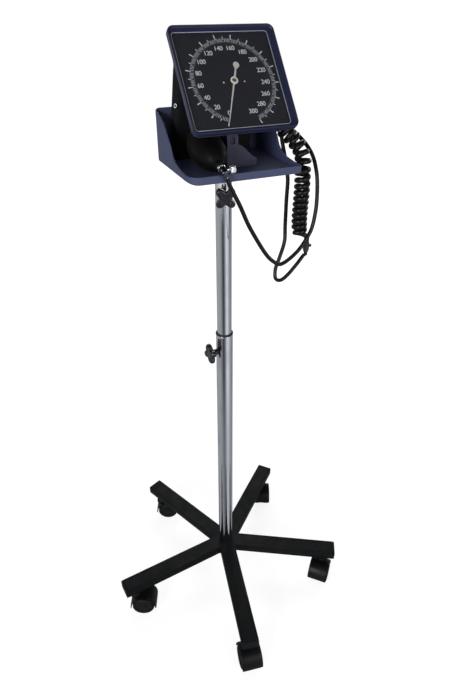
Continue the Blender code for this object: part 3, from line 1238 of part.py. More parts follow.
def centre_on_floor(root, cord_names):
    """Moves the model so that its box without the hoses is centred on the origin."""
    bpy.context.view_layer.update()
    graph = bpy.context.evaluated_depsgraph_get()
    low = Vector((math.inf, math.inf, math.inf))
    high = -low
    for obj in model.objects:
        if obj.type != "MESH" or obj.name in cord_names:
            continue
        solid = obj.evaluated_get(graph)
        for vertex in solid.data.vertices:
            point = solid.matrix_world @ vertex.co
            low = Vector(map(min, low, point))
            high = Vector(map(max, high, point))
    middle = (low + high) / 2
    root.location = (-middle.x, -middle.y, -low.z)
    bpy.context.view_layer.update()


def main():
    """Builds the whole stand."""
    clear_scene()
    root = empty("stand_root")
    build_base(root)
    build_casters(root)
    build_mast(root)
    head = empty("head_swivel", root, (0, 0, TRAY_BOTTOM))
    build_tray(head)
    build_stand(head)
    gauge = empty("gauge_tilt", head, (0, HINGE_Y, HINGE_RISE),
                  (-math.radians(GAUGE_LEAN_DEG), 0, 0))
    build_case(gauge)
    build_pointer(gauge)
    build_movement(gauge)
    build_port(gauge)
    bulb_axis = build_bulb(head)
    build_cuff(head)
    build_hoses(head, bulb_axis)
    centre_on_floor(root, ("coil", "connector", "cuff_tube", "bulb_tube"))


main()
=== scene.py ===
"""Looks of a stand aneroid sphygmomanometer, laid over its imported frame.

Lengths are metres in the frame's axes: the mast stands along +Z, the dial looks toward -Y and
leans back, and the coiled hose hangs at +X.
"""
import logging
import math
from collections.abc import Callable, Sequence
from dataclasses import dataclass, replace
from enum import Enum

import bmesh
import bpy
import numpy as np
from mathutils import Matrix, Vector


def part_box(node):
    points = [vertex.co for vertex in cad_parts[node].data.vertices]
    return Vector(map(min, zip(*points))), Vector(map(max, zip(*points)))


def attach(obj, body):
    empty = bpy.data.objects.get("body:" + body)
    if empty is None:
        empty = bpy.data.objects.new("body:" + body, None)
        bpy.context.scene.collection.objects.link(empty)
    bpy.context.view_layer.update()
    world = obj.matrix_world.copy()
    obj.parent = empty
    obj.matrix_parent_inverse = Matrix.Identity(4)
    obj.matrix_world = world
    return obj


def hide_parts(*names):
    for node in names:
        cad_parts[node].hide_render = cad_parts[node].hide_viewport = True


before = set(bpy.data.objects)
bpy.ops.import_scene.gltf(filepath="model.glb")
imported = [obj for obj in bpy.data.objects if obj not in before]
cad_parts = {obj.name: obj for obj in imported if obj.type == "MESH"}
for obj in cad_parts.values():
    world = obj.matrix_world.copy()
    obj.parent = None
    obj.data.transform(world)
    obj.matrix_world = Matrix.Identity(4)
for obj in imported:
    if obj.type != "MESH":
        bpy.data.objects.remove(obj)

LOG = logging.getLogger("stand")
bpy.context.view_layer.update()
UP = np.array((0.0, 0.0, 1.0))
Array = np.ndarray
Mover = Callable[[Array], Array]
Pair = tuple[float, float]
Triple = tuple[float, float, float]
Socket = bpy.types.NodeSocket


@dataclass(frozen=True)
class Shell:
    """A surface as arrays: its points, its quads and triangles, and a pattern place for each of their corners."""

    points: Array
    quads: Array
    quad_places: Array
    tris: Array
    tri_places: Array

    def volume(self) -> float:
        """Returns the signed volume: a sixth of the sum of the triangles' triple products."""
        a, b, c = self.points[np.concatenate([self.quads[:, :3], self.quads[:, [0, 2, 3]], self.tris]).T]
        return float(np.einsum("ij,ij->i", a, np.cross(b, c)).sum() / 6)

    def outward(self) -> "Shell":
        """Returns the closed surface with its faces pointing outwards."""
        if self.volume() >= 0:
            return self
        return Shell(self.points, self.quads[:, ::-1], self.quad_places[:, ::-1],
                     self.tris[:, ::-1], self.tri_places[:, ::-1])

    def moved(self, change: Mover) -> "Shell":
        """Returns the surface with its points passed through a rigid change of place."""
        return replace(self, points=change(self.points))


def running_length(points: Array) -> Array:
    """Returns the distance travelled at each point of a line."""
    steps = np.linalg.norm(np.diff(points, axis=0), axis=1)
    return np.concatenate([[0.0], np.cumsum(steps)])


def read_at(wanted: Array, places: Array, rows: Array) -> Array:
    """Returns rows read at the wanted places, each column by linear interpolation."""
    return np.stack([np.interp(wanted, places, column) for column in rows.T], axis=1)


def on_circle(radius: float | Array, angle: float | Array) -> Array:
    """Returns points (r cos a, r sin a)."""
    return np.stack([radius * np.cos(angle), radius * np.sin(angle)], axis=-1)


def polar(radius: float | Array, degrees: float | Array) -> Array:
    """Returns points (x, y) at a distance and a heading in degrees."""
    return on_circle(radius, np.radians(degrees))


def raised(ring: Array, level: float | Array) -> Array:
    """Returns a ring of (x, y) points at one height, or each at its own."""
    return np.column_stack([ring, np.broadcast_to(level, len(ring))])


def hermite(t: Array, start: Array, start_slope: Array, end: Array, end_slope: Array) -> Array:
    """Returns the cubic with the given values and slopes at t = 0 and t = 1."""
    return ((2 * t ** 3 - 3 * t ** 2 + 1) * start + (t ** 3 - 2 * t ** 2 + t) * start_slope
            + (3 * t ** 2 - 2 * t ** 3) * end + (t ** 3 - t ** 2) * end_slope)


def lofted(grid: Array, closed_along: bool = False) -> Shell:
    """Joins rings of points into a closed surface.

    Row i of the grid is a ring, and neighbouring rings are joined by quads. The two end rings
    are closed by fans from their middle points, unless the rings are closed along. The pattern
    place is the distance travelled round and along.

    Args:
        grid: Points of shape (rings, points in a ring, 3).
        closed_along: Joins the last ring to the first, as on a tube's wall.

    Returns:
        The surface, with its faces pointing outwards.
    """
    rings, count, _ = grid.shape
    number = np.arange(rings * count).reshape(rings, count)
    middle = grid[rings // 2]
    across = running_length(np.vstack([middle, middle[:1]]))
    stations = grid if not closed_along else np.concatenate([grid, grid[:1]])
    travel = np.linalg.norm(np.diff(stations, axis=0), axis=2).mean(axis=1)
    along = np.concatenate([[0.0], np.cumsum(travel)])
    if closed_along:
        number = np.vstack([number, number[:1]])
    number = np.hstack([number, number[:, :1]])
    quads = np.stack([number[:-1, :-1], number[:-1, 1:], number[1:, 1:], number[1:, :-1]], axis=-1)
    u, v = np.meshgrid(across, along)
    place = np.stack([u, v], axis=-1)
    quad_places = np.stack([place[:-1, :-1], place[:-1, 1:], place[1:, 1:], place[1:, :-1]], axis=-2)
    points = grid.reshape(-1, 3)
    tris, tri_places = np.zeros((0, 3), int), np.zeros((0, 3, 2))
    if not closed_along:
        fans, fan_places = [], []
        for ring, order in ((0, [0, 1, 2]), (rings - 1, [0, 2, 1])):
            rim = number[ring]
            fan = np.stack([np.full(count, len(points)), rim[1:], rim[:-1]], axis=1)
            spots = np.stack([(across[:-1] + across[1:]) / 2, across[1:], across[:-1]], axis=1)
            fan_place = np.stack([spots, np.full((count, 3), along[ring])], axis=-1)
            points = np.vstack([points, grid[ring].mean(axis=0)])
            fans.append(fan[:, order])
            fan_places.append(fan_place[:, order])
        tris, tri_places = np.concatenate(fans), np.concatenate(fan_places)
    shell = Shell(points, quads.reshape(-1, 4), quad_places.reshape(-1, 4, 2), tris, tri_places)
    return shell.outward()


def softened(points: Sequence[Sequence[float]], setback: float | Sequence[float], steps: int = 5,
             closed: bool = False) -> Array:
    """Rounds the corners of a polyline with quadratic curves.

    Each corner P becomes (1-t)^2 A + 2t(1-t) P + t^2 B, where A and B lie a setback before and
    after it, at most 0.45 of the neighbouring sides.

    Args:
        points: The polyline's corners.
        setback: How far from a corner its curve starts, one value or one for each corner.
        steps: Points on each curve.
        closed: Rounds the first and last corner too, as on a loop.

    Returns:
        The rounded line's points.
    """
    corners = np.asarray(points, float)
    count = len(corners)
    setbacks = np.broadcast_to(np.asarray(setback, float), (count,))
    line = []
    for i, corner in enumerate(corners):
        if not closed and i in (0, count - 1) or setbacks[i] == 0:
            line.append(corner[None])
            continue
        before, after = corners[i - 1] - corner, corners[(i + 1) % count] - corner
        reach = [min(setbacks[i], 0.45 * np.linalg.norm(side)) / np.linalg.norm(side) for side in (before, after)]
        start, end = corner + before * reach[0], corner + after * reach[1]
        t = np.linspace(0, 1, steps)[:, None]
        line.append((1 - t) ** 2 * start + 2 * t * (1 - t) * corner + t ** 2 * end)
    return np.vstack(line)


def turned(profile: Array, steps: int = 64, ring: bool = False) -> Shell:
    """Turns a profile round local Z: each point (r, z) becomes (r cos a, r sin a, z).

    Args:
        profile: Points of radius and height; one of radius 0 at an end is the pole of a cap.
        steps: Points in each ring.
        ring: Joins the profile's ends, as on a tube's wall.

    Returns:
        The closed surface.
    """
    body = profile[profile[:, 0] > 0]
    angle = np.linspace(0, 2 * math.pi, steps, endpoint=False)
    radius, height = body[:, :1], np.repeat(body[:, 1:2], steps, axis=1)
    grid = np.stack([radius * np.cos(angle), radius * np.sin(angle), height], axis=-1)
    return lofted(grid, closed_along=ring)


def rectangle_ring(width: float, depth: float, radii: Sequence[float], side_points: int = 8,
                   corner_points: int = 9, centre: Pair = (0.0, 0.0)) -> Array:
    """Corner-rounded rectangle in (x, y), anticlockwise from its right side.

    A corner is the arc centre + r (cos a, sin a) over a quarter turn, and a side is split evenly.

    Args:
        width: Size along x.
        depth: Size along y.
        radii: Corner radii in the order +x+y, -x+y, -x-y, +x-y.
        side_points: Points added between two corners.
        corner_points: Points on a corner.
        centre: Its middle.

    Returns:
        The ring's points.
    """
    corners = []
    for number, (side_x, side_y) in enumerate(((1, 1), (-1, 1), (-1, -1), (1, -1))):
        radius = radii[number]
        middle = centre[0] + side_x * (width / 2 - radius), centre[1] + side_y * (depth / 2 - radius)
        angle = math.pi / 2 * (number + np.linspace(0, 1, corner_points))
        corners.append(middle + on_circle(radius, angle))
    line = []
    for number, corner in enumerate(corners):
        after = corners[(number + 1) % 4][0]
        share = np.linspace(0, 1, side_points + 2)[1:-1, None]
        line += [corner, corner[-1] * (1 - share) + after * share]
    return np.vstack(line)


def eased(position: Array, knots: Sequence[float], values: Sequence[float]) -> Array:
    """Smooth curve through knots: a cubic with slopes from the harmonic mean of its neighbours.

    Args:
        position: Where it is read.
        knots: Rising places.
        values: Its value at each.

    Returns:
        Its values there.
    """
    x, y = np.asarray(knots, float), np.asarray(values, float)
    step = np.diff(y) / np.diff(x)
    slope = np.concatenate([[step[0]], np.zeros(len(x) - 2), [step[-1]]])
    product = step[:-1] * step[1:]
    total = np.where(product > 0, step[:-1] + step[1:], 1.0)
    slope[1:-1] = np.where(product > 0, 2 * product / total, 0.0)
    at = np.clip(position, x[0], x[-1])
    i = np.clip(np.searchsorted(x, at, side="right") - 1, 0, len(x) - 2)
    width = x[i + 1] - x[i]
    return hermite((at - x[i]) / width, y[i], width * slope[i], y[i + 1], width * slope[i + 1])


def smooth_line(points: Sequence[Sequence[float]], spacing: float, fine: int = 24) -> Array:
    """Catmull-Rom curve through points, read at an even spacing.

    Args:
        points: The points it passes through.
        spacing: Distance between the points read.
        fine: Steps of each piece of the curve.

    Returns:
        The evenly spaced points.
    """
    knots = np.asarray(points, float)
    knots = np.vstack([2 * knots[0] - knots[1], knots, 2 * knots[-1] - knots[-2]])
    before, start, end, after = (knots[k:len(knots) - 3 + k, None] for k in range(4))
    t = np.linspace(0, 1, fine, endpoint=False)[None, :, None]
    curve = 0.5 * (2 * start + (end - before) * t + (2 * before - 5 * start + 4 * end - after) * t ** 2
                   + (3 * start - before - 3 * end + after) * t ** 3)
    curve = np.vstack([curve.reshape(-1, 3), knots[-2]])
    run = running_length(curve)
    return read_at(np.linspace(0, run[-1], max(2, round(run[-1] / spacing) + 1)), run, curve)


def carried_sides(tangents: Array, first: Array) -> Array:
    """Directions square to a line that turn with it as little as they can.

    Args:
        tangents: The line's unit directions.
        first: The direction wanted at its start.

    Returns:
        A unit direction for each tangent.
    """
    side, sides = first, []
    for tangent in tangents:
        side = side - tangent * np.dot(side, tangent)
        side = side / np.linalg.norm(side)
        sides.append(side)
    return np.array(sides)


def directions(points: Array) -> Array:
    """Returns a line's unit directions from the differences between its points."""
    tangents = np.gradient(points, axis=0)
    return tangents / np.linalg.norm(tangents, axis=1)[:, None]


def rings_round(path: Array, tangents: Array, side: Array, radius: float, count: int) -> Array:
    """Rings of points round a path: point + r (cos a side + sin a up), where up is square to the others.

    Args:
        path: The middle line.
        tangents: Its unit directions.
        side: A unit direction square to each of them.
        radius: The rings' radius.
        count: Points in each ring.

    Returns:
        Points of shape (path points, count, 3).
    """
    up = np.cross(tangents, side)
    angle = np.linspace(0, 2 * math.pi, count, endpoint=False)[None, :, None]
    return path[:, None] + radius * (np.cos(angle) * side[:, None] + np.sin(angle) * up[:, None])


def tube(path: Array, radius: float) -> Shell:
    """Returns a round tube along a path, its rings turning as little as they can."""
    tangents = directions(path)
    side = carried_sides(tangents, np.cross(tangents[0], (0.31, 0.77, 0.55)))
    return lofted(rings_round(path, tangents, side, radius, 14))


def slab(outline: Array, low: float, high: float, edge: float) -> Shell:
    """Plate of an outline in (x, y) between two heights, with its rims drawn in by an edge.

    Rings run bottom, side, top; the rims are quarter circles of the edge's radius, moved in along
    the outline's own normals, with a ring beside each that keeps the flat faces flat.

    Args:
        outline: The outline, anticlockwise.
        low: Height of its underside.
        high: Height of its top.
        edge: Radius of its rims.

    Returns:
        The closed surface.
    """
    ahead = np.roll(outline, -1, axis=0) - np.roll(outline, 1, axis=0)
    normal = np.stack([ahead[:, 1], -ahead[:, 0]], axis=1) / np.linalg.norm(ahead, axis=1)[:, None]
    turn = np.linspace(0, math.pi / 2, 5)
    round_rim = np.column_stack([edge * (1 - np.cos(turn)), edge * (1 - np.sin(turn))])
    rows = [(low, edge * 1.5), *((low + rise, inset) for rise, inset in round_rim),
            *((high - rise, inset) for rise, inset in round_rim[::-1]), (high, edge * 1.5)]
    return lofted(np.stack([raised(outline - normal * inset, level) for level, inset in rows]))


def rotation(degrees: float, axis: str) -> Matrix:
    """Returns a turn about an axis."""
    return Matrix.Rotation(math.radians(degrees), 4, axis)


def matrix_mover(matrix: Matrix) -> Mover:
    """Returns a function that passes points through a 4x4 matrix."""
    values = np.array(matrix)
    return lambda points: points @ values[:3, :3].T + values[:3, 3]


def along_axis(start: Sequence[float], end: Sequence[float]) -> Mover:
    """Returns a function that lays local Z from one point toward another, with its origin on the first."""
    first, last = Vector(start), Vector(end)
    turn = (last - first).to_track_quat("Z", "Y").to_matrix().to_4x4()
    return matrix_mover(Matrix.Translation(first) @ turn)


def mesh_of(name: str, shells: Sequence[Shell]) -> bpy.types.Mesh:
    """Puts surfaces into one mesh, with their pattern places as its UV map.

    Args:
        name: The mesh's name.
        shells: The surfaces.

    Returns:
        The mesh.
    """
    points, loops, starts, totals, places, offset, cursor = [], [], [], [], [], 0, 0
    for shell in shells:
        points.append(shell.points)
        for faces, spots in ((shell.quads, shell.quad_places), (shell.tris, shell.tri_places)):
            if not len(faces):
                continue
            corners = faces.shape[1]
            loops.append((faces + offset).ravel())
            starts.append(cursor + corners * np.arange(len(faces)))
            totals.append(np.full(len(faces), corners))
            places.append(spots.reshape(-1, 2))
            cursor += faces.size
        offset += len(shell.points)
    mesh = bpy.data.meshes.new(name)
    mesh.vertices.add(offset)
    mesh.vertices.foreach_set("co", np.vstack(points).astype(np.float32).ravel())
    mesh.loops.add(cursor)
    mesh.loops.foreach_set("vertex_index", np.concatenate(loops).astype(np.int32))
    mesh.polygons.add(sum(len(s) for s in starts))
    mesh.polygons.foreach_set("loop_start", np.concatenate(starts).astype(np.int32))
    mesh.polygons.foreach_set("loop_total", np.concatenate(totals).astype(np.int32))
    layer = mesh.uv_layers.new(name="surface")
    layer.data.foreach_set("uv", np.vstack(places).astype(np.float32).ravel())
    mesh.update(calc_edges=True)
    mesh.validate()
    return mesh


class Recipe:
    """The nodes of one material or world, added and linked in a line each."""

    def __init__(self, name: str, world: bool = False) -> None:
        """Starts a material, or a world, of that name with its own shader."""
        self.owner = (bpy.data.worlds if world else bpy.data.materials).new(name)
        self.owner.use_nodes = True
        self.tree = self.owner.node_tree
        self.shader = self.tree.nodes["Background" if world else "Principled BSDF"]

    def node(self, kind: str, inputs: dict | None = None, **settings) -> bpy.types.Node:
        """Adds a node.

        Args:
            kind: Its type.
            inputs: Values or sockets for its inputs, by name or number.
            settings: Its own properties.

        Returns:
            The node.
        """
        made = self.tree.nodes.new(kind)
        for key, value in settings.items():
            setattr(made, key, value)
        for key, value in (inputs or {}).items():
            if isinstance(value, Socket):
                self.tree.links.new(value, made.inputs[key])
            else:
                made.inputs[key].default_value = value
        return made

    def set(self, **values: float | tuple) -> None:
        """Sets constant values on the shader; underscores in a name stand for spaces."""
        for key, value in values.items():
            self.shader.inputs[key.replace("_", " ")].default_value = value

    def feed(self, name: str, source: Socket) -> None:
        """Links a socket to one of the shader's inputs."""
        self.tree.links.new(source, self.shader.inputs[name])

    def object_place(self, stretch: Triple = (1.0, 1.0, 1.0)) -> Socket:
        """Returns Object coordinates, stretched along each axis."""
        place = self.node("ShaderNodeTexCoord").outputs["Object"]
        return self.node("ShaderNodeMapping", {"Vector": place, "Scale": stretch}).outputs["Vector"]

    def surface_place(self, stretch: Triple = (1.0, 1.0, 1.0)) -> Socket:
        """Returns the piece's own pattern places, stretched along each axis."""
        place = self.node("ShaderNodeUVMap", uv_map="surface").outputs["UV"]
        return self.node("ShaderNodeMapping", {"Vector": place, "Scale": stretch}).outputs["Vector"]

    def noise(self, place: Socket, scale: float, detail: float = 3.0, roughness: float = 0.55) -> Socket:
        """Returns a noise's value."""
        made = self.node("ShaderNodeTexNoise", {"Vector": place, "Scale": scale, "Detail": detail,
                                                "Roughness": roughness})
        return made.outputs["Fac"]

    def spread(self, value: Socket, low: float, high: float, from_low: float = 0.3, from_high: float = 0.7) -> Socket:
        """Maps a value from one range onto another and keeps it inside."""
        made = self.node("ShaderNodeMapRange", {"Value": value, "From Min": from_low, "From Max": from_high,
                                                "To Min": low, "To Max": high})
        return made.outputs["Result"]

    def blend(self, share: Socket, first: Sequence[float] | Socket, second: Sequence[float] | Socket) -> Socket:
        """Mixes two colours, each a socket or red, green and blue."""
        first, second = (value if isinstance(value, Socket) else (*value, 1.0) for value in (first, second))
        return self.node("ShaderNodeMix", {0: share, 6: first, 7: second}, data_type="RGBA").outputs[2]

    def sum(self, first: Socket, second: Socket | float, operation: str = "ADD") -> Socket:
        """Combines two values by a maths operation."""
        return self.node("ShaderNodeMath", {0: first, 1: second}, operation=operation).outputs[0]

    def relief(self, height: Socket, depth: float, strength: float = 1.0, under: Socket | None = None) -> Socket:
        """Returns a bumped normal.

        Args:
            height: The pattern, 0 to 1.
            depth: How deep it is, in metres.
            strength: How strongly it shows.
            under: A normal that it lies on.

        Returns:
            The normal's socket.
        """
        inputs = {"Height": height, "Distance": depth, "Strength": strength}
        if under is not None:
            inputs["Normal"] = under
        return self.node("ShaderNodeBump", inputs).outputs["Normal"]

    def split_by_ray(self, plain: Socket, mirrored: Socket, seen: Socket) -> None:
        """Ends the nodes with a shader for each kind of ray.

        Args:
            plain: For light that falls on surfaces.
            mirrored: For what gloss reflects.
            seen: For the eye, also through clear pieces.
        """
        path = self.node("ShaderNodeLightPath").outputs
        clear = self.sum(path["Is Camera Ray"], path["Is Transmission Ray"], "MAXIMUM")
        light = self.node("ShaderNodeMixShader", {0: path["Is Glossy Ray"], 1: plain, 2: mirrored})
        last = self.node("ShaderNodeMixShader", {0: clear, 1: light.outputs[0], 2: seen})
        out = next(node for node in self.tree.nodes if node.bl_idname.startswith("ShaderNodeOutput"))
        self.tree.links.new(last.outputs[0], out.inputs["Surface"])


@dataclass(frozen=True)
class Skin:
    """What the finishes share: a name, a colour and a second one that their pattern brings in."""

    name: str
    colour: Triple
    second: Triple


@dataclass(frozen=True)
class Plastic(Skin):
    """Moulded plastic or powder coat: a fine spark texture, cloudy gloss and slightly paler worn skin."""

    roughness: float = 0.4
    grain: float = 900.0
    grain_depth: float = 0.00006
    waviness: float = 0.00025
    coat: float = 0.0
    gloss: float = 0.3

    def make(self) -> bpy.types.Material:
        """Colour is a cloud between the plain and the worn tone, and the bump is grain on slow waves."""
        recipe = Recipe(self.name)
        place = recipe.object_place()
        cloud = recipe.noise(place, 14.0, 5.0)
        fleck = recipe.noise(place, 420.0, 2.0)
        tone = recipe.spread(recipe.sum(cloud, recipe.sum(fleck, 0.35, "MULTIPLY")), 0.0, 0.55, 0.45, 0.95)
        recipe.feed("Base Color", recipe.blend(tone, self.colour, self.second))
        smear = recipe.noise(recipe.object_place((1.0, 1.0, 0.35)), 38.0, 4.0)
        recipe.feed("Roughness", recipe.spread(smear, self.roughness - 0.06, self.roughness + 0.1))
        wave = recipe.relief(recipe.noise(place, 26.0, 2.0), self.waviness, 0.35)
        recipe.feed("Normal", recipe.relief(recipe.noise(place, self.grain, 2.0), self.grain_depth, 0.6, wave))
        recipe.set(Coat_Weight=self.coat, Coat_Roughness=0.12, Specular_IOR_Level=self.gloss)
        return recipe.owner


@dataclass(frozen=True)
class Plating(Skin):
    """Plated or bare metal with fine drawn lines and faint smudges."""

    roughness: float = 0.12
    lines: Triple = (1.0, 1.0, 0.02)
    line_depth: float = 0.00001

    def make(self) -> bpy.types.Material:
        """Smudges darken and roughen the metal, and stretched noise gives its drawn lines."""
        recipe = Recipe(self.name)
        smudge = recipe.noise(recipe.object_place((1.0, 1.0, 0.4)), 34.0, 5.0, 0.6)
        recipe.feed("Base Color", recipe.blend(recipe.spread(smudge, 0.0, 1.0, 0.5, 0.75), self.colour, self.second))
        lines = recipe.noise(recipe.object_place(self.lines), 900.0, 3.0)
        rough = recipe.sum(recipe.spread(smudge, self.roughness, self.roughness + 0.12, 0.45, 0.75),
                           recipe.spread(lines, 0.0, 0.05))
        recipe.feed("Roughness", rough)
        recipe.feed("Normal", recipe.relief(lines, self.line_depth, 0.4))
        recipe.set(Metallic=1.0)
        return recipe.owner


@dataclass(frozen=True)
class Rubber(Skin):
    """Moulded rubber or soft hose: dull skin with faint pores, a bloom of paler dust and a soft sheen."""

    roughness: float = 0.42
    pores: float = 1400.0
    gloss: float = 0.25

    def make(self) -> bpy.types.Material:
        """Dust gathers where a slow noise is high, and pores are a fine noise under a slow wave."""
        recipe = Recipe(self.name)
        place = recipe.object_place()
        dust = recipe.noise(place, 60.0, 6.0, 0.65)
        recipe.feed("Base Color", recipe.blend(recipe.spread(dust, 0.0, 0.8, 0.5, 0.8), self.colour, self.second))
        recipe.feed("Roughness", recipe.spread(dust, self.roughness - 0.08, self.roughness + 0.14))
        wave = recipe.relief(recipe.noise(place, 90.0, 2.0), 0.0002, 0.3)
        recipe.feed("Normal", recipe.relief(recipe.noise(place, self.pores, 2.0), 0.00004, 0.5, wave))
        recipe.set(Sheen_Weight=0.03, Sheen_Roughness=0.4, Specular_IOR_Level=self.gloss)
        return recipe.owner


@dataclass(frozen=True)
class Weave(Skin):
    """Woven nylon: warp and weft over the piece's own pattern places, with slubs and a soft sheen."""

    pitch: float = 0.0006
    depth: float = 0.00016

    def make(self) -> bpy.types.Material:
        """Two wave textures a quarter turn apart are multiplied into a basket of threads."""
        recipe = Recipe(self.name)
        place = recipe.surface_place()
        scale = 1.0 / self.pitch / 20.0
        warp, weft = (recipe.node("ShaderNodeTexWave", {"Vector": place, "Scale": scale, "Distortion": 1.2,
                                                        "Detail": 1.0, "Detail Scale": 3.0},
                                  bands_direction=axis).outputs["Fac"] for axis in ("X", "Y"))
        basket = recipe.sum(warp, weft, "MULTIPLY")
        slub = recipe.noise(recipe.surface_place((1.0, 6.0, 1.0)), 60.0, 4.0)
        tone = recipe.sum(recipe.spread(basket, 0.0, 0.8, 0.0, 1.0), recipe.spread(slub, 0.0, 0.3))
        recipe.feed("Base Color", recipe.blend(tone, self.colour, self.second))
        crease = recipe.relief(recipe.noise(recipe.object_place((1.0, 1.0, 0.5)), 55.0, 4.0), 0.0011, 0.5)
        recipe.feed("Normal", recipe.relief(basket, self.depth, 0.8, crease))
        recipe.feed("Roughness", recipe.spread(slub, 0.72, 0.9))
        recipe.set(Sheen_Weight=0.06, Sheen_Roughness=0.4, Specular_IOR_Level=0.2)
        return recipe.owner


@dataclass(frozen=True)
class Pile(Skin):
    """Brushed loop pile of a hook and loop fastener."""

    def make(self) -> bpy.types.Material:
        """Loops are cells of a small Voronoi pattern, matted by a slower noise."""
        recipe = Recipe(self.name)
        place = recipe.object_place()
        loops = recipe.node("ShaderNodeTexVoronoi", {"Vector": place, "Scale": 1100.0}).outputs["Distance"]
        matting = recipe.noise(place, 120.0, 5.0)
        share = recipe.sum(recipe.spread(loops, 0.9, 0.0, 0.1, 0.8), recipe.spread(matting, 0.3, 1.0), "MULTIPLY")
        recipe.feed("Base Color", recipe.blend(share, self.colour, self.second))
        soft = recipe.relief(matting, 0.0006, 0.5)
        recipe.feed("Normal", recipe.relief(loops, 0.0003, 0.7, soft))
        recipe.set(Roughness=0.95, Sheen_Weight=0.1, Sheen_Roughness=0.6, Specular_IOR_Level=0.1)
        return recipe.owner


@dataclass(frozen=True)
class Ink(Skin):
    """Screen-printed ink or enamel with a slightly broken film."""

    roughness: float = 0.45

    def make(self) -> bpy.types.Material:
        """The film thins where a fine noise is low."""
        recipe = Recipe(self.name)
        place = recipe.object_place()
        film = recipe.noise(place, 1500.0, 3.0)
        recipe.feed("Base Color", recipe.blend(recipe.spread(film, 0.0, 1.0, 0.35, 0.7), self.second, self.colour))
        recipe.feed("Roughness", recipe.spread(film, self.roughness - 0.05, self.roughness + 0.1))
        recipe.feed("Normal", recipe.relief(film, 0.00002, 0.4))
        recipe.set(Specular_IOR_Level=0.2)
        return recipe.owner


@dataclass(frozen=True)
class Pane:
    """Clear moulded pane, thin enough to bend no light: mostly see-through, with a faint gloss."""

    name: str
    tint: Triple = (0.02, 0.022, 0.028)

    def make(self) -> bpy.types.Material:
        """A clouded share of the pane, mostly its dust and gloss, is opaque."""
        recipe = Recipe(self.name)
        place = recipe.object_place()
        haze = recipe.noise(place, 22.0, 5.0, 0.6)
        recipe.feed("Alpha", recipe.spread(haze, 0.1, 0.15, 0.4, 0.8))
        recipe.feed("Roughness", recipe.spread(haze, 0.04, 0.12, 0.4, 0.8))
        recipe.feed("Base Color", recipe.blend(haze, self.tint, (0.05, 0.052, 0.06)))
        recipe.set(IOR=1.9)
        return recipe.owner


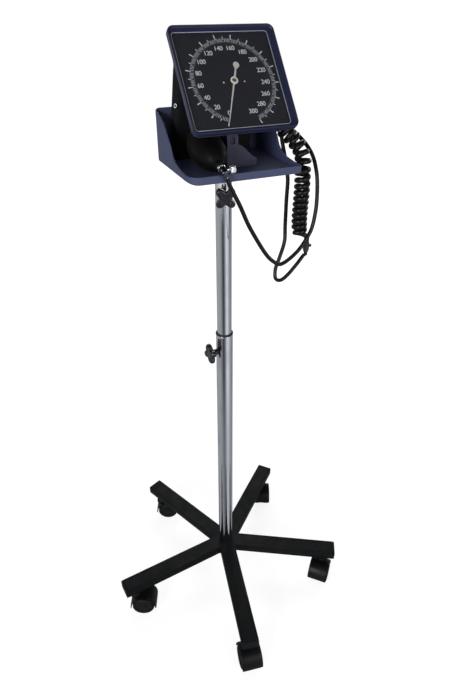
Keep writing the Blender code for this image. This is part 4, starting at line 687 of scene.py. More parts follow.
class Finish(Enum):
    """The finishes of the stand, each made once."""

    FRAME = Plastic("powder_coat_black", (0.003, 0.0036, 0.0041), (0.006, 0.0067, 0.0073), 0.5, 700.0, 0.00008,
                    gloss=0.11)
    CAP = Plastic("leg_cap_black", (0.004, 0.0044, 0.005), (0.008, 0.0085, 0.009), 0.55, gloss=0.2)
    HOOD = Plastic("caster_nylon_black", (0.0026, 0.0028, 0.0032), (0.006, 0.0062, 0.0066), 0.4, 1100.0, gloss=0.2)
    WHEEL = Plastic("wheel_tread_black", (0.0035, 0.0036, 0.004), (0.009, 0.009, 0.0092), 0.55, 800.0, gloss=0.2)
    KNOB = Plastic("knob_black", (0.0022, 0.0022, 0.0026), (0.005, 0.005, 0.0055), 0.36, 1200.0, 0.00003, gloss=0.16)
    BUSH = Plastic("bush_black", (0.0045, 0.0048, 0.006), (0.01, 0.01, 0.012), 0.45)
    TRAY = Plastic("tray_navy", (0.016, 0.0225, 0.06), (0.024, 0.031, 0.074), 0.45, 850.0, 0.00008)
    STAND = Plastic("stand_navy", (0.025, 0.034, 0.09), (0.035, 0.045, 0.108), 0.42, 850.0, 0.00008)
    CASE = Plastic("case_navy", (0.015, 0.018, 0.062), (0.022, 0.026, 0.076), 0.3, 1000.0, 0.00004, coat=0.06,
                   gloss=0.25)
    BEZEL = Plastic("bezel_navy", (0.0125, 0.015, 0.04), (0.018, 0.021, 0.05), 0.36, 1000.0, 0.00002, 0.0001,
                    coat=0.06, gloss=0.2)
    # Pale opaque strip round the pane's edge: a painted highlight standing for the glint on the clear pane's rim.
    TRIM = Plastic("pane_edge_painted_glint", (0.22, 0.23, 0.27), (0.33, 0.34, 0.38), 0.2, 1500.0, 0.00001, coat=0.4, gloss=0.6)
    FITTING = Plastic("fitting_black", (0.003, 0.003, 0.0036), (0.007, 0.007, 0.0075), 0.38, 1200.0, gloss=0.25)
    DIAL = Ink("dial_black", (0.0105, 0.0132, 0.019), (0.0138, 0.0165, 0.0225), 0.6)
    SCALE = Ink("scale_white", (0.94, 0.95, 0.96), (0.8, 0.81, 0.82), 0.5)
    BAND = Ink("scale_band_grey", (0.09, 0.094, 0.104), (0.066, 0.069, 0.077), 0.5)
    POINTER = Ink("pointer_white", (0.9, 0.92, 0.95), (0.76, 0.78, 0.81), 0.35)
    CHROME = Plating("chrome_plate", (0.78, 0.79, 0.84), (0.62, 0.63, 0.68), 0.09)
    NICKEL = Plating("satin_nickel", (0.8, 0.82, 0.88), (0.66, 0.68, 0.74), 0.28)
    # Darkened plating: a painted dark reflection, standing for the chrome valve mirroring dark surroundings.
    SMOKED = Plating("nickel_painted_dark_reflection", (0.085, 0.088, 0.1), (0.05, 0.05, 0.06), 0.2)
    STEEL = Plating("zinc_steel", (0.46, 0.46, 0.48), (0.33, 0.33, 0.35), 0.3, (1.0, 1.0, 1.0))
    BRASS = Plating("brass", (0.72, 0.55, 0.27), (0.52, 0.38, 0.17), 0.24, (1.0, 0.05, 1.0))
    HOSE = Rubber("hose_black", (0.0026, 0.0026, 0.003), (0.0065, 0.0065, 0.007), 0.34)
    # Black rubber made darker still: partly the rubber's own black, partly painted shade from the gauge case above it.
    BULB = Rubber("bulb_black_and_painted_shade", (0.0018, 0.0017, 0.0017), (0.0045, 0.004, 0.0038), 0.5, 1000.0, gloss=0.08)
    CUFF = Weave("cuff_nylon_black", (0.002, 0.0022, 0.0028), (0.0065, 0.007, 0.009))
    BINDING = Weave("binding_tape_black", (0.0025, 0.0026, 0.0032), (0.009, 0.0095, 0.011), 0.0011, 0.00022)
    THREAD = Weave("seam_thread_black", (0.006, 0.006, 0.0075), (0.015, 0.015, 0.018), 0.0004, 0.00008)
    PILE = Pile("loop_pile_black", (0.002, 0.002, 0.0026), (0.009, 0.009, 0.011))
    PANE = Pane("clear_pane")

    def material(self) -> bpy.types.Material:
        """Returns the finish's material, made at its first use."""
        return bpy.data.materials.get(self.value.name) or self.value.make()


@dataclass(frozen=True)
class Piece:
    """How a finished piece is dressed and carried."""

    name: str
    finish: Finish
    body: str
    slot: str | None = None
    stands_for: tuple[str, ...] = ()
    smooth_deg: float = 38.0

    def made_of(self, shells: Sequence[Shell], move: Mover | None = None) -> bpy.types.Object:
        """Returns the piece's object, built from closed surfaces that are moved to their place."""
        return self.dressed(mesh_of(self.name, [shell.moved(move) for shell in shells] if move else shells))

    def dressed(self, mesh: bpy.types.Mesh) -> bpy.types.Object:
        """Wraps a mesh in an object, dresses it and hangs it on its body."""
        piece = bpy.data.objects.new(self.name, mesh)
        bpy.context.scene.collection.objects.link(piece)
        mesh.materials.clear()
        mesh.materials.append(self.finish.material())
        mesh.shade_smooth()
        mesh.set_sharp_from_angle(angle=math.radians(self.smooth_deg))
        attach(piece, self.body)
        if self.stands_for:
            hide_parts(*self.stands_for)
        LOG.info("%s: %d faces on %s", self.name, len(mesh.polygons), self.body)
        return piece

    def rounded_copy(self, node: str, width: float) -> bpy.types.Object:
        """Stands for a CAD node with a merged copy of its mesh whose sharp edges are rounded.

        Args:
            node: The CAD node.
            width: Width of the rounding.

        Returns:
            The piece's object.
        """
        work = bmesh.new()
        work.from_mesh(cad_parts[node].data)
        bmesh.ops.remove_doubles(work, verts=work.verts, dist=1e-6)
        bmesh.ops.dissolve_limit(work, angle_limit=math.radians(1.0), verts=work.verts, edges=work.edges)
        mesh = bpy.data.meshes.new(self.name)
        work.to_mesh(mesh)
        work.free()
        piece = self.dressed(mesh)
        bevel = piece.modifiers.new("rounding", "BEVEL")
        bevel.width = width
        bevel.segments = 3
        bevel.limit_method = "ANGLE"
        bevel.angle_limit = math.radians(40.0)
        bevel.harden_normals = True
        return piece


def dress_node(node: str, finish: Finish) -> None:
    """Gives a CAD node that stays a finish."""
    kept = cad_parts[node]
    kept.data.materials.clear()
    kept.data.materials.append(finish.material())


@dataclass(frozen=True)
class Datum:
    """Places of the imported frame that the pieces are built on."""

    mast: Array
    tray: Array
    hub_top: float
    hinge_offset: Triple = (0.0, -0.027, 0.072)
    lean_deg: float = 38.6
    front_depth: float = 0.049
    centre_rise: float = 0.031
    legs: int = 5
    first_leg_deg: float = -29.85

    @classmethod
    def read(cls) -> "Datum":
        """Reads the mast's axis, the tray's underside and the hub's top from the frame."""
        low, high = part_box("upper_tube")
        mast = np.array(((low.x + high.x) / 2, (low.y + high.y) / 2, 0.0))
        return cls(mast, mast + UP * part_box("tray")[0].z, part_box("base_frame")[1].z)

    def leg_heading(self, leg: int) -> float:
        """Returns a leg's heading in degrees."""
        return self.first_leg_deg + 360 / self.legs * leg

    def on_mast(self, points: Array) -> Array:
        """Moves points from the mast's axis to the world."""
        return np.asarray(points, float) + self.mast

    def in_head(self, points: Array) -> Array:
        """Moves points from the tray's own frame to the world."""
        return np.asarray(points, float) + self.tray

    def in_gauge(self, points: Array) -> Array:
        """Turns points of the upright gauge back about its hinge and moves them to the world."""
        angle = -math.radians(self.lean_deg)
        x, y, z = np.asarray(points, float).T
        turned_back = np.stack([x, y * math.cos(angle) - z * math.sin(angle),
                                y * math.sin(angle) + z * math.cos(angle)], axis=1)
        return turned_back + self.hinge_offset + self.tray

    def on_dial(self, points: Array) -> Array:
        """Maps (across, up, toward the eye) on the case's front plane, from the dial's centre, to the world."""
        x, y, z = np.asarray(points, float).T
        return self.in_gauge(np.stack([x, -self.front_depth - z, y + self.centre_rise], axis=1))


@dataclass
class Studio:
    """Camera, pale floor, soft lamps and the surroundings that gloss mirrors."""

    datum: Datum
    camera_place: Triple = (-0.33027, -0.79791, 1.2303)
    camera_tilt_deg: float = 57.596
    camera_heading_deg: float = -24.015
    camera_roll_deg: float = 0.21
    lens: float = 29.06
    film: float = 36.0
    floor_radius: float = 6.0
    floor_glow: float = 1.16
    bands_turn_deg: float = 112.9
    bands: tuple[Pair, ...] = (
        (0.0, 0.36), (0.1, 0.4), (0.205, 0.4), (0.333, 0.38), (0.4, 0.25), (0.452, 0.06), (0.482, 0.05),
        (0.516, 0.14), (0.562, 0.5), (0.6, 0.82), (0.66, 0.7), (0.725, 0.38), (0.795, 0.27), (0.9, 0.29),
        (1.0, 0.36),
    )

    def build_camera(self) -> None:
        """Places the camera where the photograph was taken from."""
        data = bpy.data.cameras.new("photo_camera")
        data.lens = self.lens
        data.sensor_width = self.film
        data.clip_start = 0.01
        camera = bpy.data.objects.new("photo_camera", data)
        heading = rotation(self.camera_heading_deg, "Z")
        tilt = rotation(self.camera_tilt_deg, "X")
        roll = rotation(self.camera_roll_deg, "Z")
        camera.matrix_world = Matrix.Translation(self.camera_place) @ heading @ tilt @ roll
        bpy.context.scene.collection.objects.link(camera)
        bpy.context.scene.camera = camera

    def build_floor(self) -> None:
        """Pale floor: a disc of rings r = R s^2, white to the eye but for the object's shadow.

        Gloss mirrors it as sectors of grey round the mast, which fade to one grey near it, so that
        the tubes show the light and dark lines of a room.
        """
        share = np.linspace(0.02, 1.0, 12)[:, None]
        top = on_circle(self.floor_radius * share ** 2, np.linspace(0, 2 * math.pi, 72, endpoint=False))
        rows = [raised(ring, -0.0004) for ring in top]
        grid = np.stack(rows + [ring - UP * 0.01 for ring in rows[::-1]])
        floor = bpy.data.objects.new("floor", mesh_of("floor", [lofted(grid)]))
        bpy.context.scene.collection.objects.link(floor)
        recipe = Recipe("floor_pale")
        dust = recipe.noise(recipe.object_place(), 3.0, 3.0)
        recipe.feed("Base Color", recipe.blend(dust, (0.78, 0.78, 0.78), (0.82, 0.82, 0.82)))
        recipe.set(Roughness=0.9)
        centred = recipe.node("ShaderNodeMapping", {"Vector": recipe.node("ShaderNodeTexCoord").outputs["Object"],
                                                    "Location": (-self.datum.mast[0], -self.datum.mast[1], 0.0)})
        sectors = recipe.node("ShaderNodeVectorRotate", {"Vector": centred.outputs[0],
                                                         "Angle": math.radians(self.bands_turn_deg)},
                              rotation_type="Z_AXIS")
        wheel = recipe.node("ShaderNodeTexGradient", {"Vector": sectors.outputs[0]}, gradient_type="RADIAL")
        ramp = recipe.node("ShaderNodeValToRGB", {0: wheel.outputs["Fac"]})
        stops = ramp.color_ramp.elements
        for number, (spot, level) in enumerate(self.bands):
            stop = stops[number] if number < 2 else stops.new(spot)
            stop.position = spot
            stop.color = (level * 0.94, level * 0.96, level, 1.0)
        away = recipe.node("ShaderNodeVectorMath", {0: centred.outputs[0]}, operation="LENGTH").outputs["Value"]
        shade = recipe.blend(recipe.spread(away, 0.5, 0.0, 0.45, 1.2), ramp.outputs[0], (0.29, 0.3, 0.32))
        mirrored = recipe.node("ShaderNodeEmission", {"Color": shade, "Strength": 1.0})
        seen = recipe.node("ShaderNodeEmission", {"Color": (1.0, 1.0, 1.0, 1.0), "Strength": self.floor_glow})
        eye = recipe.node("ShaderNodeMixShader", {0: recipe.spread(away, 0.74, 1.0, 0.3, 1.6),
                                                  1: recipe.shader.outputs[0], 2: seen.outputs[0]})
        recipe.split_by_ray(recipe.shader.outputs[0], mirrored.outputs[0], eye.outputs[0])
        floor.data.materials.append(recipe.owner)

    def build_world(self) -> None:
        """White to the eye, a plain soft light to surfaces, and for gloss a room that is dark overhead."""
        recipe = Recipe("studio", world=True)
        bpy.context.scene.world = recipe.owner
        white = (1.0, 1.0, 1.0, 1.0)
        recipe.set(Color=white, Strength=0.3)
        way = recipe.node("ShaderNodeTexCoord").outputs["Generated"]
        rise = recipe.node("ShaderNodeSeparateXYZ", {0: way}).outputs["Z"]
        dimmed = recipe.spread(rise, 0.7, 0.07, 0.0, 0.6)
        room = recipe.node("ShaderNodeBackground", {"Color": white, "Strength": dimmed})
        seen = recipe.node("ShaderNodeBackground", {"Color": white, "Strength": 1.0})
        recipe.split_by_ray(recipe.shader.outputs[0], room.outputs[0], seen.outputs[0])

    def build_lamps(self) -> None:
        """Four soft lamps aimed below the tray: key at the front left, fill in front, one at the right, one behind."""
        target = Vector(self.datum.tray) - Vector((0, 0, 0.2))
        for name, place, size, power, tint in (
            ("key", (-2.0, -1.5, 1.45), 1.0, 42.0, (0.96, 0.98, 1.0)),
            ("fill", (0.6, -2.3, 1.3), 1.0, 18.0, (0.97, 0.98, 1.0)),
            ("side", (2.1, 0.7, 1.5), 0.8, 12.0, (0.97, 0.98, 1.0)),
            ("back", (0.6, 1.8, 2.3), 1.2, 20.0, (1.0, 1.0, 1.0)),
        ):
            data = bpy.data.lights.new(name, "AREA")
            data.shape = "DISK"
            data.size = size
            data.energy = power
            data.color = tint
            lamp = bpy.data.objects.new(name, data)
            lamp.location = place
            lamp.rotation_euler = (target - Vector(place)).to_track_quat("-Z", "Y").to_euler()
            bpy.context.scene.collection.objects.link(lamp)
        bpy.context.scene.view_settings.view_transform = "Standard"

    def build(self) -> None:
        """Builds the whole studio."""
        self.build_camera()
        self.build_floor()
        self.build_world()
        self.build_lamps()


@dataclass
class Hoses:
    """Coiled hose, its connector, and the two plain hoses; the routes are counted from the tray's underside."""

    datum: Datum
    diameter: float = 0.0066
    coil_diameter: float = 0.0088
    port: Triple = (0.0623, -0.027, 0.072)
    connector: Triple = (0.1274, -0.06, -0.1387)
    connector_height: float = 0.016
    connector_width: float = 0.009
    gap: float = 0.0003
    cuff_front: float = 0.028
    curl_radius: float = 0.009
    wide_pitch: float = 0.0135
    tight_pitch: float = 0.0094
    ease_steepness: float = 14.0
    curl_steps: int = 24
    coil_route: tuple[Triple, ...] = (
        (0.08, -0.027, 0.061), (0.0988, -0.024, 0.0416), (0.1087, -0.03, 0.0314),
        (0.1148, -0.04, 0.0192), (0.1157, -0.05, 0.0044), (0.113, -0.056, -0.0125),
        (0.1131, -0.057, -0.0411), (0.1122, -0.057, -0.0843), (0.1136, -0.057, -0.111),
    )
    cuff_tube_route: tuple[Triple, ...] = (
        (0.1245, -0.06, -0.154), (0.1118, -0.06, -0.169), (0.0953, -0.06, -0.186),
        (0.083, -0.058, -0.1955), (0.0745, -0.054, -0.193), (0.076, -0.049, -0.177),
        (0.084, -0.046, -0.16), (0.096, -0.04, -0.133), (0.0985, -0.035, -0.1064),
        (0.099, -0.0335, -0.0635), (0.1, -0.0325, -0.03), (0.0985, -0.0285, -0.0111),
        (0.0975, -0.023, 0.0062), (0.097, -0.014, 0.0248), (0.0968, -0.006, 0.042),
        (0.0935, 0.001, 0.053), (0.086, 0.006, 0.058), (0.076, 0.011, 0.056),
        (0.068, 0.016, 0.05), (0.064, 0.0225, 0.045),
    )
    cuff_tube_end: Pair = (0.0635, 0.044)
    bulb_tube_route: tuple[Triple, ...] = (
        (-0.0277, -0.101, -0.015), (-0.0155, -0.099, -0.0373), (0.0029, -0.096, -0.075),
        (0.0323, -0.092, -0.1225), (0.05, -0.0895, -0.142), (0.0642, -0.087, -0.15),
        (0.0845, -0.082, -0.145), (0.104, -0.078, -0.133), (0.12, -0.076, -0.1133),
        (0.1285, -0.073, -0.099), (0.1343, -0.07, -0.0744), (0.1365, -0.067, -0.053),
        (0.137, -0.063, -0.0278), (0.1372, -0.056, -0.01), (0.1365, -0.044, 0.008),
        (0.132, -0.028, 0.023), (0.123, -0.013, 0.036), (0.112, 0.001, 0.048),
        (0.102, 0.011, 0.06), (0.092, 0.017, 0.07), (0.082, 0.0195, 0.073),
        (0.073, 0.021, 0.073), (0.067, 0.0235, 0.072),
    )
    bulb_tube_end: Pair = (0.065, 0.0715)

    def coil_path(self) -> Array:
        """Coiled hose's middle line in the tray's frame.

        Each point is the route's point + r (cos a side + sin a up), where a grows by a turn for
        each pitch travelled, and the pitch eases from wide to tight by a logistic curve. Two
        cubics lead in from the port and out to the connector.
        """
        step = self.wide_pitch / 40
        line = smooth_line(self.coil_route, step)
        tangents = directions(line)
        first = np.cross(tangents[0], (0.0, 1.0, 0.0))
        side = carried_sides(tangents, first / np.linalg.norm(first))
        up = np.cross(tangents, side)
        share = np.arange(len(line)) / (len(line) - 1)
        ease = 1 / (1 + np.exp((0.5 - share) * self.ease_steepness))
        pitch = self.wide_pitch + (self.tight_pitch - self.wide_pitch) * ease
        phase = np.concatenate([[0.0], np.cumsum(step / pitch)[:-1]])
        angle = 2 * math.pi * phase[:, None]
        curls = line + self.curl_radius * (np.cos(angle) * side + np.sin(angle) * up)
        curls = read_at(np.arange(0.0, phase[-1], 1 / self.curl_steps), phase, curls)
        port = np.array(self.port)
        lead_in = port + (self.diameter, 0, 0)
        landing = np.array(self.connector) + UP * (self.connector_height / 2 + self.gap)
        lead_out = landing + UP * self.diameter
        pull = 2 * math.pi * self.curl_radius / self.curl_steps
        start = self.lead(lead_in, np.array((1.0, 0.0, 0.0)), curls[0], curls[1] - curls[0], pull)
        end = self.lead(curls[-1], curls[-1] - curls[-2], lead_out, -UP, pull)
        return np.vstack([port, lead_in, start, curls, end, lead_out, landing])

    @staticmethod
    def lead(start: Array, start_way: Array, end: Array, end_way: Array, pull: float) -> Array:
        """Cubic between two points, its slopes as long as their distance.

        Args:
            start: The first point.
            start_way: The direction there.
            end: The last point.
            end_way: The direction there.
            pull: Distance between its points.

        Returns:
            Its points without the two ends.
        """
        span = np.linalg.norm(end - start)
        t = np.linspace(0, 1, max(3, round(span / pull) + 2))[1:-1, None]
        way_in, way_out = (way / np.linalg.norm(way) * span for way in (start_way, end_way))
        return hermite(t, start, way_in, end, way_out)

    def plain_path(self, start: Array, aim: Array, route: Sequence, end: Pair) -> Array:
        """Plain hose's middle line: a straight stub, a smooth line through the route and a stub into the cuff.

        Args:
            start: Where it begins.
            aim: The direction there.
            route: Points that it passes.
            end: Where it meets the cuff's face, across and up.

        Returns:
            Its points in the tray's frame.
        """
        stop = np.array((end[0], self.cuff_front - self.gap, end[1]))
        before = stop - (0.0, self.diameter, 0.0)
        middle = smooth_line([start + aim * self.diameter, *route, before], self.diameter * 0.7)
        return np.vstack([start, middle, stop])

    def hose(self, name: str, path: Array, diameter: float) -> None:
        """Args:
            name: The piece's name.
            path: Its middle line in the tray's frame.
            diameter: Its diameter.
        """
        world = self.datum.in_head(path)
        piece = Piece(name, Finish.HOSE, "head", "hose_rubber", (name.replace("_hose", ""),))
        made = piece.made_of([tube(world, diameter / 2)])

    def build_connector(self) -> bpy.types.Object:
        """Connector block: a rounded square prism with a waist, a bevelled nub at its side and two end sleeves."""
        half = self.connector_width / 2
        ring = rectangle_ring(1.0, 1.0, [0.3] * 4, 4, 7)
        rise = np.linspace(-0.5, 0.5, 23)
        draw = 1.0 - 0.1 * np.exp(-(rise / 0.09) ** 2) - 0.3 * np.clip(np.abs(rise) - 0.44, 0, 1) / 0.06
        grid = np.stack([raised(ring * width, level)
                         for width, level in zip(self.connector_width * draw, self.connector_height * rise)])
        nub = softened([(0, 0.0005), (0.0032, 0.0005), (0.0032, half + 0.0012), (0.0026, half + 0.0018),
                        (0.0026, half + 0.005), (0, half + 0.005)], 0.0006)
        centre = self.datum.in_head(np.array([self.connector]))[0]
        shells = [lofted(grid).moved(lambda p: p + centre),
                  turned(nub, 32).moved(along_axis(centre, centre + (1.0, 0.0, 0.0)))]
        for low, high in ((-0.0098, -0.0072), (0.0072, 0.0098)):
            sleeve = softened([(0.0036, low), (0.0043, low), (0.0043, high), (0.0036, high)], 0.0003, closed=True)
            shells.append(turned(sleeve, 32, ring=True).moved(lambda p: p + centre))
        return Piece("hose_connector", Finish.FITTING, "head", "fitting_black", ("connector",)).made_of(shells)

    def build(self, valve_mouth: Array, valve_aim: Array) -> None:
        """Builds the three hoses.

        Args:
            valve_mouth: End of the valve's nozzle in the tray's frame.
            valve_aim: Its unit direction.
        """
        block = self.build_connector()
        self.hose("coil_hose", self.coil_path(), self.coil_diameter)
        below = np.array(self.connector) - UP * (self.connector_height / 2 + self.gap)
        self.hose("cuff_tube_hose", self.plain_path(below, -UP, self.cuff_tube_route, self.cuff_tube_end),
                  self.diameter)
        path = self.plain_path(valve_mouth + valve_aim * self.gap, valve_aim, self.bulb_tube_route, self.bulb_tube_end)
        self.hose("bulb_tube_hose", path, self.diameter)


@dataclass
class Base:
    """Five-legged star with the caps of its legs."""

    datum: Datum
    length: float = 0.265
    width: float = 0.036
    height: float = 0.0205
    cap: float = 0.0025
    edge: float = 0.0014

    @property
    def underside(self) -> float:
        """Returns the height of the legs' underside."""
        return self.datum.hub_top - self.height

    def build_star(self) -> None:
        """One plate over the star's outline: two corners at each leg's end and a rounded crotch between legs."""
        corners, setbacks = [], []
        legs = self.datum.legs
        inner = self.width / 2 / math.sin(math.pi / legs)
        for leg in range(legs):
            heading = self.datum.leg_heading(leg)
            end, across = polar(self.length - self.cap - 0.0003, heading), polar(self.width / 2, heading + 90)
            corners += [end - across, end + across, polar(inner, heading + 180 / legs)]
            setbacks += [0.0012, 0.0012, 0.0045]
        outline = softened(corners, setbacks, 7, closed=True)
        around = np.vstack([outline, outline[:1]])
        run = running_length(around)
        even = np.unique(np.concatenate([run[:-1], np.arange(0, run[-1], 0.012)]))
        star = slab(read_at(even, run, around), self.underside, self.datum.hub_top, self.edge)
        Piece("base_star", Finish.FRAME, "base", "frame_black", ("base_frame",)).made_of([star], self.datum.on_mast)

    def build_caps(self) -> None:
        """Leg caps: a rounded plate and a raised, softened panel on its face."""
        plate = slab(rectangle_ring(self.width, self.height, [0.0022] * 4), -self.cap, 0.0, 0.0008)
        panel = slab(rectangle_ring(self.width - 0.005, self.height - 0.005, [0.002] * 4), -0.001, 0.0006, 0.0005)
        for leg in range(self.datum.legs):
            place = (Matrix.Translation(Vector(self.datum.mast)) @ rotation(self.datum.leg_heading(leg), "Z")
                     @ Matrix.Translation((self.length, 0, self.underside + self.height / 2))
                     @ rotation(90, "Z") @ rotation(90, "X"))
            Piece(f"leg_cap_{leg + 1}", Finish.CAP, "base", "cap_black", (f"leg_end_cap_{leg + 1}",)).made_of(
                (plate, panel), matrix_mover(place))

    def build(self) -> None:
        """Builds the star and caps, and dresses the bolt and stems that stay as they are."""
        self.build_star()
        self.build_caps()
        for node in ("base_bolt", *(f"caster_stem_{leg + 1}" for leg in range(self.datum.legs))):
            dress_node(node, Finish.STEEL)


@dataclass
class Casters:
    """Twin-wheel casters with arched hoods."""

    datum: Datum
    trail: float = 0.016
    trail_deg: tuple[float, ...] = (-135.0, -114.0, -23.0, -23.0, -100.0)
    reach: float = 0.238
    radius: float = 0.025
    width: float = 0.0175
    web: float = 0.008
    side_gap: float = 0.001
    hood_gap: float = 0.0022
    wall: float = 0.0025
    skirt: float = 0.002
    boss_radius: float = 0.0105
    boss_top: float = 0.0437

    def carrier(self, number: int) -> Matrix:
        """Returns the frame on a caster's axle: X along its trail, Y along the axle."""
        swivel = polar(self.reach, self.datum.leg_heading(number - 1)) + self.datum.mast[:2]
        return (Matrix.Translation((*swivel, self.radius))
                @ rotation(self.trail_deg[number - 1], "Z")
                @ Matrix.Translation((self.trail, 0, 0)))

    def arch(self) -> Shell:
        """Hood: a shouldered C-section swept round the axle from skirt to skirt.

        The section's corner radii are cut off its outer shoulders, and its radius grows a little
        at the skirts, where the moulding flares.
        """
        outer = self.radius + self.hood_gap + self.wall
        half = self.web / 2 + self.side_gap + self.width
        section = softened([(-half, outer), (half, outer), (half, outer - self.wall), (-half, outer - self.wall)],
                           [0.0095, 0.0095, 0.0006, 0.0006], 9, closed=True)
        low = math.asin(self.skirt / outer)
        angle = np.linspace(-low, math.pi + low, 61)
        flare = 0.0005 * (np.clip(-np.sin(angle), 0, 1) / math.sin(low)) ** 2
        reach = section[None, :, 1] + flare[:, None]
        grid = np.stack([reach * np.cos(angle)[:, None], np.broadcast_to(section[:, 0], reach.shape),
                         reach * np.sin(angle)[:, None]], axis=-1)
        return lofted(grid)

    def web_plate(self) -> Shell:
        """Middle web: half a disc between the wheels, cut off at the skirt."""
        rim = self.radius + self.hood_gap + 0.001
        low = math.asin(self.skirt / rim)
        outline = polar(rim, np.degrees(np.linspace(-low, math.pi + low, 41)))
        plate = slab(softened(outline, 0.001, 3, closed=True), -self.web / 2, self.web / 2, 0.0008)
        return plate.moved(lambda p: np.stack([p[:, 0], -p[:, 2], p[:, 1]], axis=1))

    def hood(self, number: int) -> None:
        """Builds one hood with its web, its boss and the rib round the boss."""
        top = self.boss_top
        profile = softened([(0, 0.02), (self.boss_radius + 0.003, 0.02), (self.boss_radius + 0.0022, 0.029),
                            (self.boss_radius, 0.0325), (self.boss_radius, top), (0.0062, top), (0.0052, top - 0.001),
                            (0, top - 0.001)], [0, 0.001, 0.003, 0.002, 0.0014, 0.0004, 0.0004, 0], 6)
        boss = turned(profile, 40).moved(lambda p: p - (self.trail, 0, 0))
        Piece(f"hood_{number}", Finish.HOOD, f"caster_{number}", "hood_black", (f"caster_hood_{number}",)).made_of(
            (self.arch(), self.web_plate(), boss), matrix_mover(self.carrier(number)))

    def wheel(self, number: int, side: int, word: str) -> None:
        """Builds one wheel: a crowned tread, a rim lip, a dished face and a domed hub cap."""
        half, rim = self.width / 2, self.radius
        profile = softened([
            (0, -half + 0.001), (0.016, -half + 0.001), (0.017, -half), (rim - 0.0028, -half), (rim, -half + 0.003),
            (rim + 0.0001, -0.0022), (rim - 0.0006, -0.0014), (rim - 0.0006, 0.0014), (rim + 0.0001, 0.0022),
            (rim, half - 0.003), (rim - 0.0028, half), (rim - 0.0058, half), (rim - 0.0068, half - 0.002),
            (0.0085, half - 0.0026), (0.0078, half - 0.0008), (0.005, half + 0.0002), (0, half + 0.0004),
        ], [0, 0.0005, 0.0005, 0.002, 0.002, 0.0004, 0.0004, 0.0004, 0.0004, 0.002, 0.0015, 0.0008, 0.0008, 0.0006,
            0.0006, 0.002, 0], 5)
        offset = side * (self.web / 2 + self.side_gap + half)
        place = self.carrier(number) @ Matrix.Translation((0, offset, 0)) @ rotation(-90 * side, "X")
        Piece(f"wheel_{word}_{number}_tyre", Finish.WHEEL, f"wheel_{word}_{number}", "wheel_black",
              (f"wheel_{word}_{number}",)).made_of([turned(profile, 56)], matrix_mover(place))

    def build(self) -> None:
        """Builds the casters, one under each leg."""
        for number in range(1, self.datum.legs + 1):
            self.hood(number)
            dress_node(f"caster_axle_{number}", Finish.STEEL)
            for side, word in ((1, "left"), (-1, "right")):
                self.wheel(number, side, word)


@dataclass
class Mast:
    """Chromed tubes, the bush between them with its key, and the tray's socket."""

    datum: Datum
    lower_radius: float = 0.016
    upper_radius: float = 0.0137
    wall: float = 0.0015
    lower_top: float = 0.6851
    upper_length: float = 0.56
    bush_radius: float = 0.0166
    bush_height: float = 0.0026
    key_deg: float = -148.4
    key_half_deg: float = 16.0
    key_rows: tuple[Pair, ...] = (
        (0.6642, -0.0006), (0.6646, 0.0001), (0.665, 0.0002), (0.67, 0.0002), (0.676, 0.0002), (0.68, 0.0002),
        (0.6804, 0.0001), (0.6808, -0.0006),
    )
    socket_radius: float = 0.024
    socket_height: float = 0.004

    def pipe(self, name: str, node: str, body: str, radius: float, low: float, high: float) -> None:
        """Builds a tube with rounded rims.

        Args:
            name: The piece's name.
            node: The CAD node that it stands for.
            body: The body that carries it.
            radius: Its outer radius.
            low: Its lower end.
            high: Its upper end.
        """
        ends = [(radius, low), (radius, high), (radius - self.wall, high), (radius - self.wall, low)]
        profile = softened(ends, 0.0004, 4, closed=True)
        Piece(name, Finish.CHROME, body, "chrome", (node,)).made_of(
            [turned(profile, 96, ring=True)], self.datum.on_mast)

    def build(self) -> None:
        """Builds the tubes, the bush, its key and the socket."""
        self.pipe("lower_mast_tube", "lower_tube", "base", self.lower_radius, self.datum.hub_top + 0.0003,
                  self.lower_top)
        upper_top = self.datum.tray[2] - self.socket_height - 0.0006
        self.pipe("upper_mast_tube", "upper_tube", "mast_upper", self.upper_radius, upper_top - self.upper_length,
                  upper_top)
        low, rim, bore = self.lower_top + 0.0002, self.bush_radius, self.upper_radius + 0.0002
        high = low + self.bush_height
        bush = softened([(0.0142, low - 0.025), (0.0142, low), (rim, low), (rim, high), (bore, high),
                         (bore, low - 0.025)], [0, 0.0002, 0.0005, 0.0011, 0.0005, 0], 5, closed=True)
        Piece("sliding_bush", Finish.BUSH, "base", "bush_black", ("mast_bush",)).made_of(
            [turned(bush, 72, ring=True)], self.datum.on_mast)
        self.build_key()
        rim, spigot = self.socket_radius, 0.0112
        socket = softened([(0, -0.0003), (rim, -0.0003), (rim, -0.0043), (0.015, -0.0043), (spigot, -0.0046),
                           (spigot, -0.068), (spigot - 0.002, -0.07), (0, -0.07)],
                          [0, 0.0008, 0.0016, 0.001, 0.0002, 0.001, 0.001, 0], 5)
        Piece("tray_socket_plate", Finish.STAND, "head", "stand_navy", ("tray_socket",)).made_of(
            [turned(socket, 72)], self.datum.in_head)

    def build_key(self) -> None:
        """Key plate under the bush: a patch on the lower tube, each row raised by its bulge, its sides sunk."""
        share = np.linspace(-1, 1, 15)
        rise, bulge = np.array(self.key_rows).T[:, :, None]
        reach = self.lower_radius + bulge - np.where(np.abs(share) > 0.97, 0.0007, 0.0)
        way = on_circle(reach, np.radians(self.key_deg + self.key_half_deg * share))
        face = np.concatenate([way, np.repeat(rise, len(share), axis=1)[:, :, None]], axis=-1)
        grid = np.concatenate([face, (face * (0.96, 0.96, 1.0))[:, ::-1]], axis=1)
        Piece("bush_key", Finish.BUSH, "base", "bush_black").made_of([lofted(grid)], self.datum.on_mast)


@dataclass(frozen=True)
class KnobSeat:
    """Where a clamp knob sits: its tube's radius, its heading and height, its neck's length and its first lobe."""

    word: str
    tube_radius: float
    heading_deg: float
    height: float
    neck: float
    lobe_deg: float


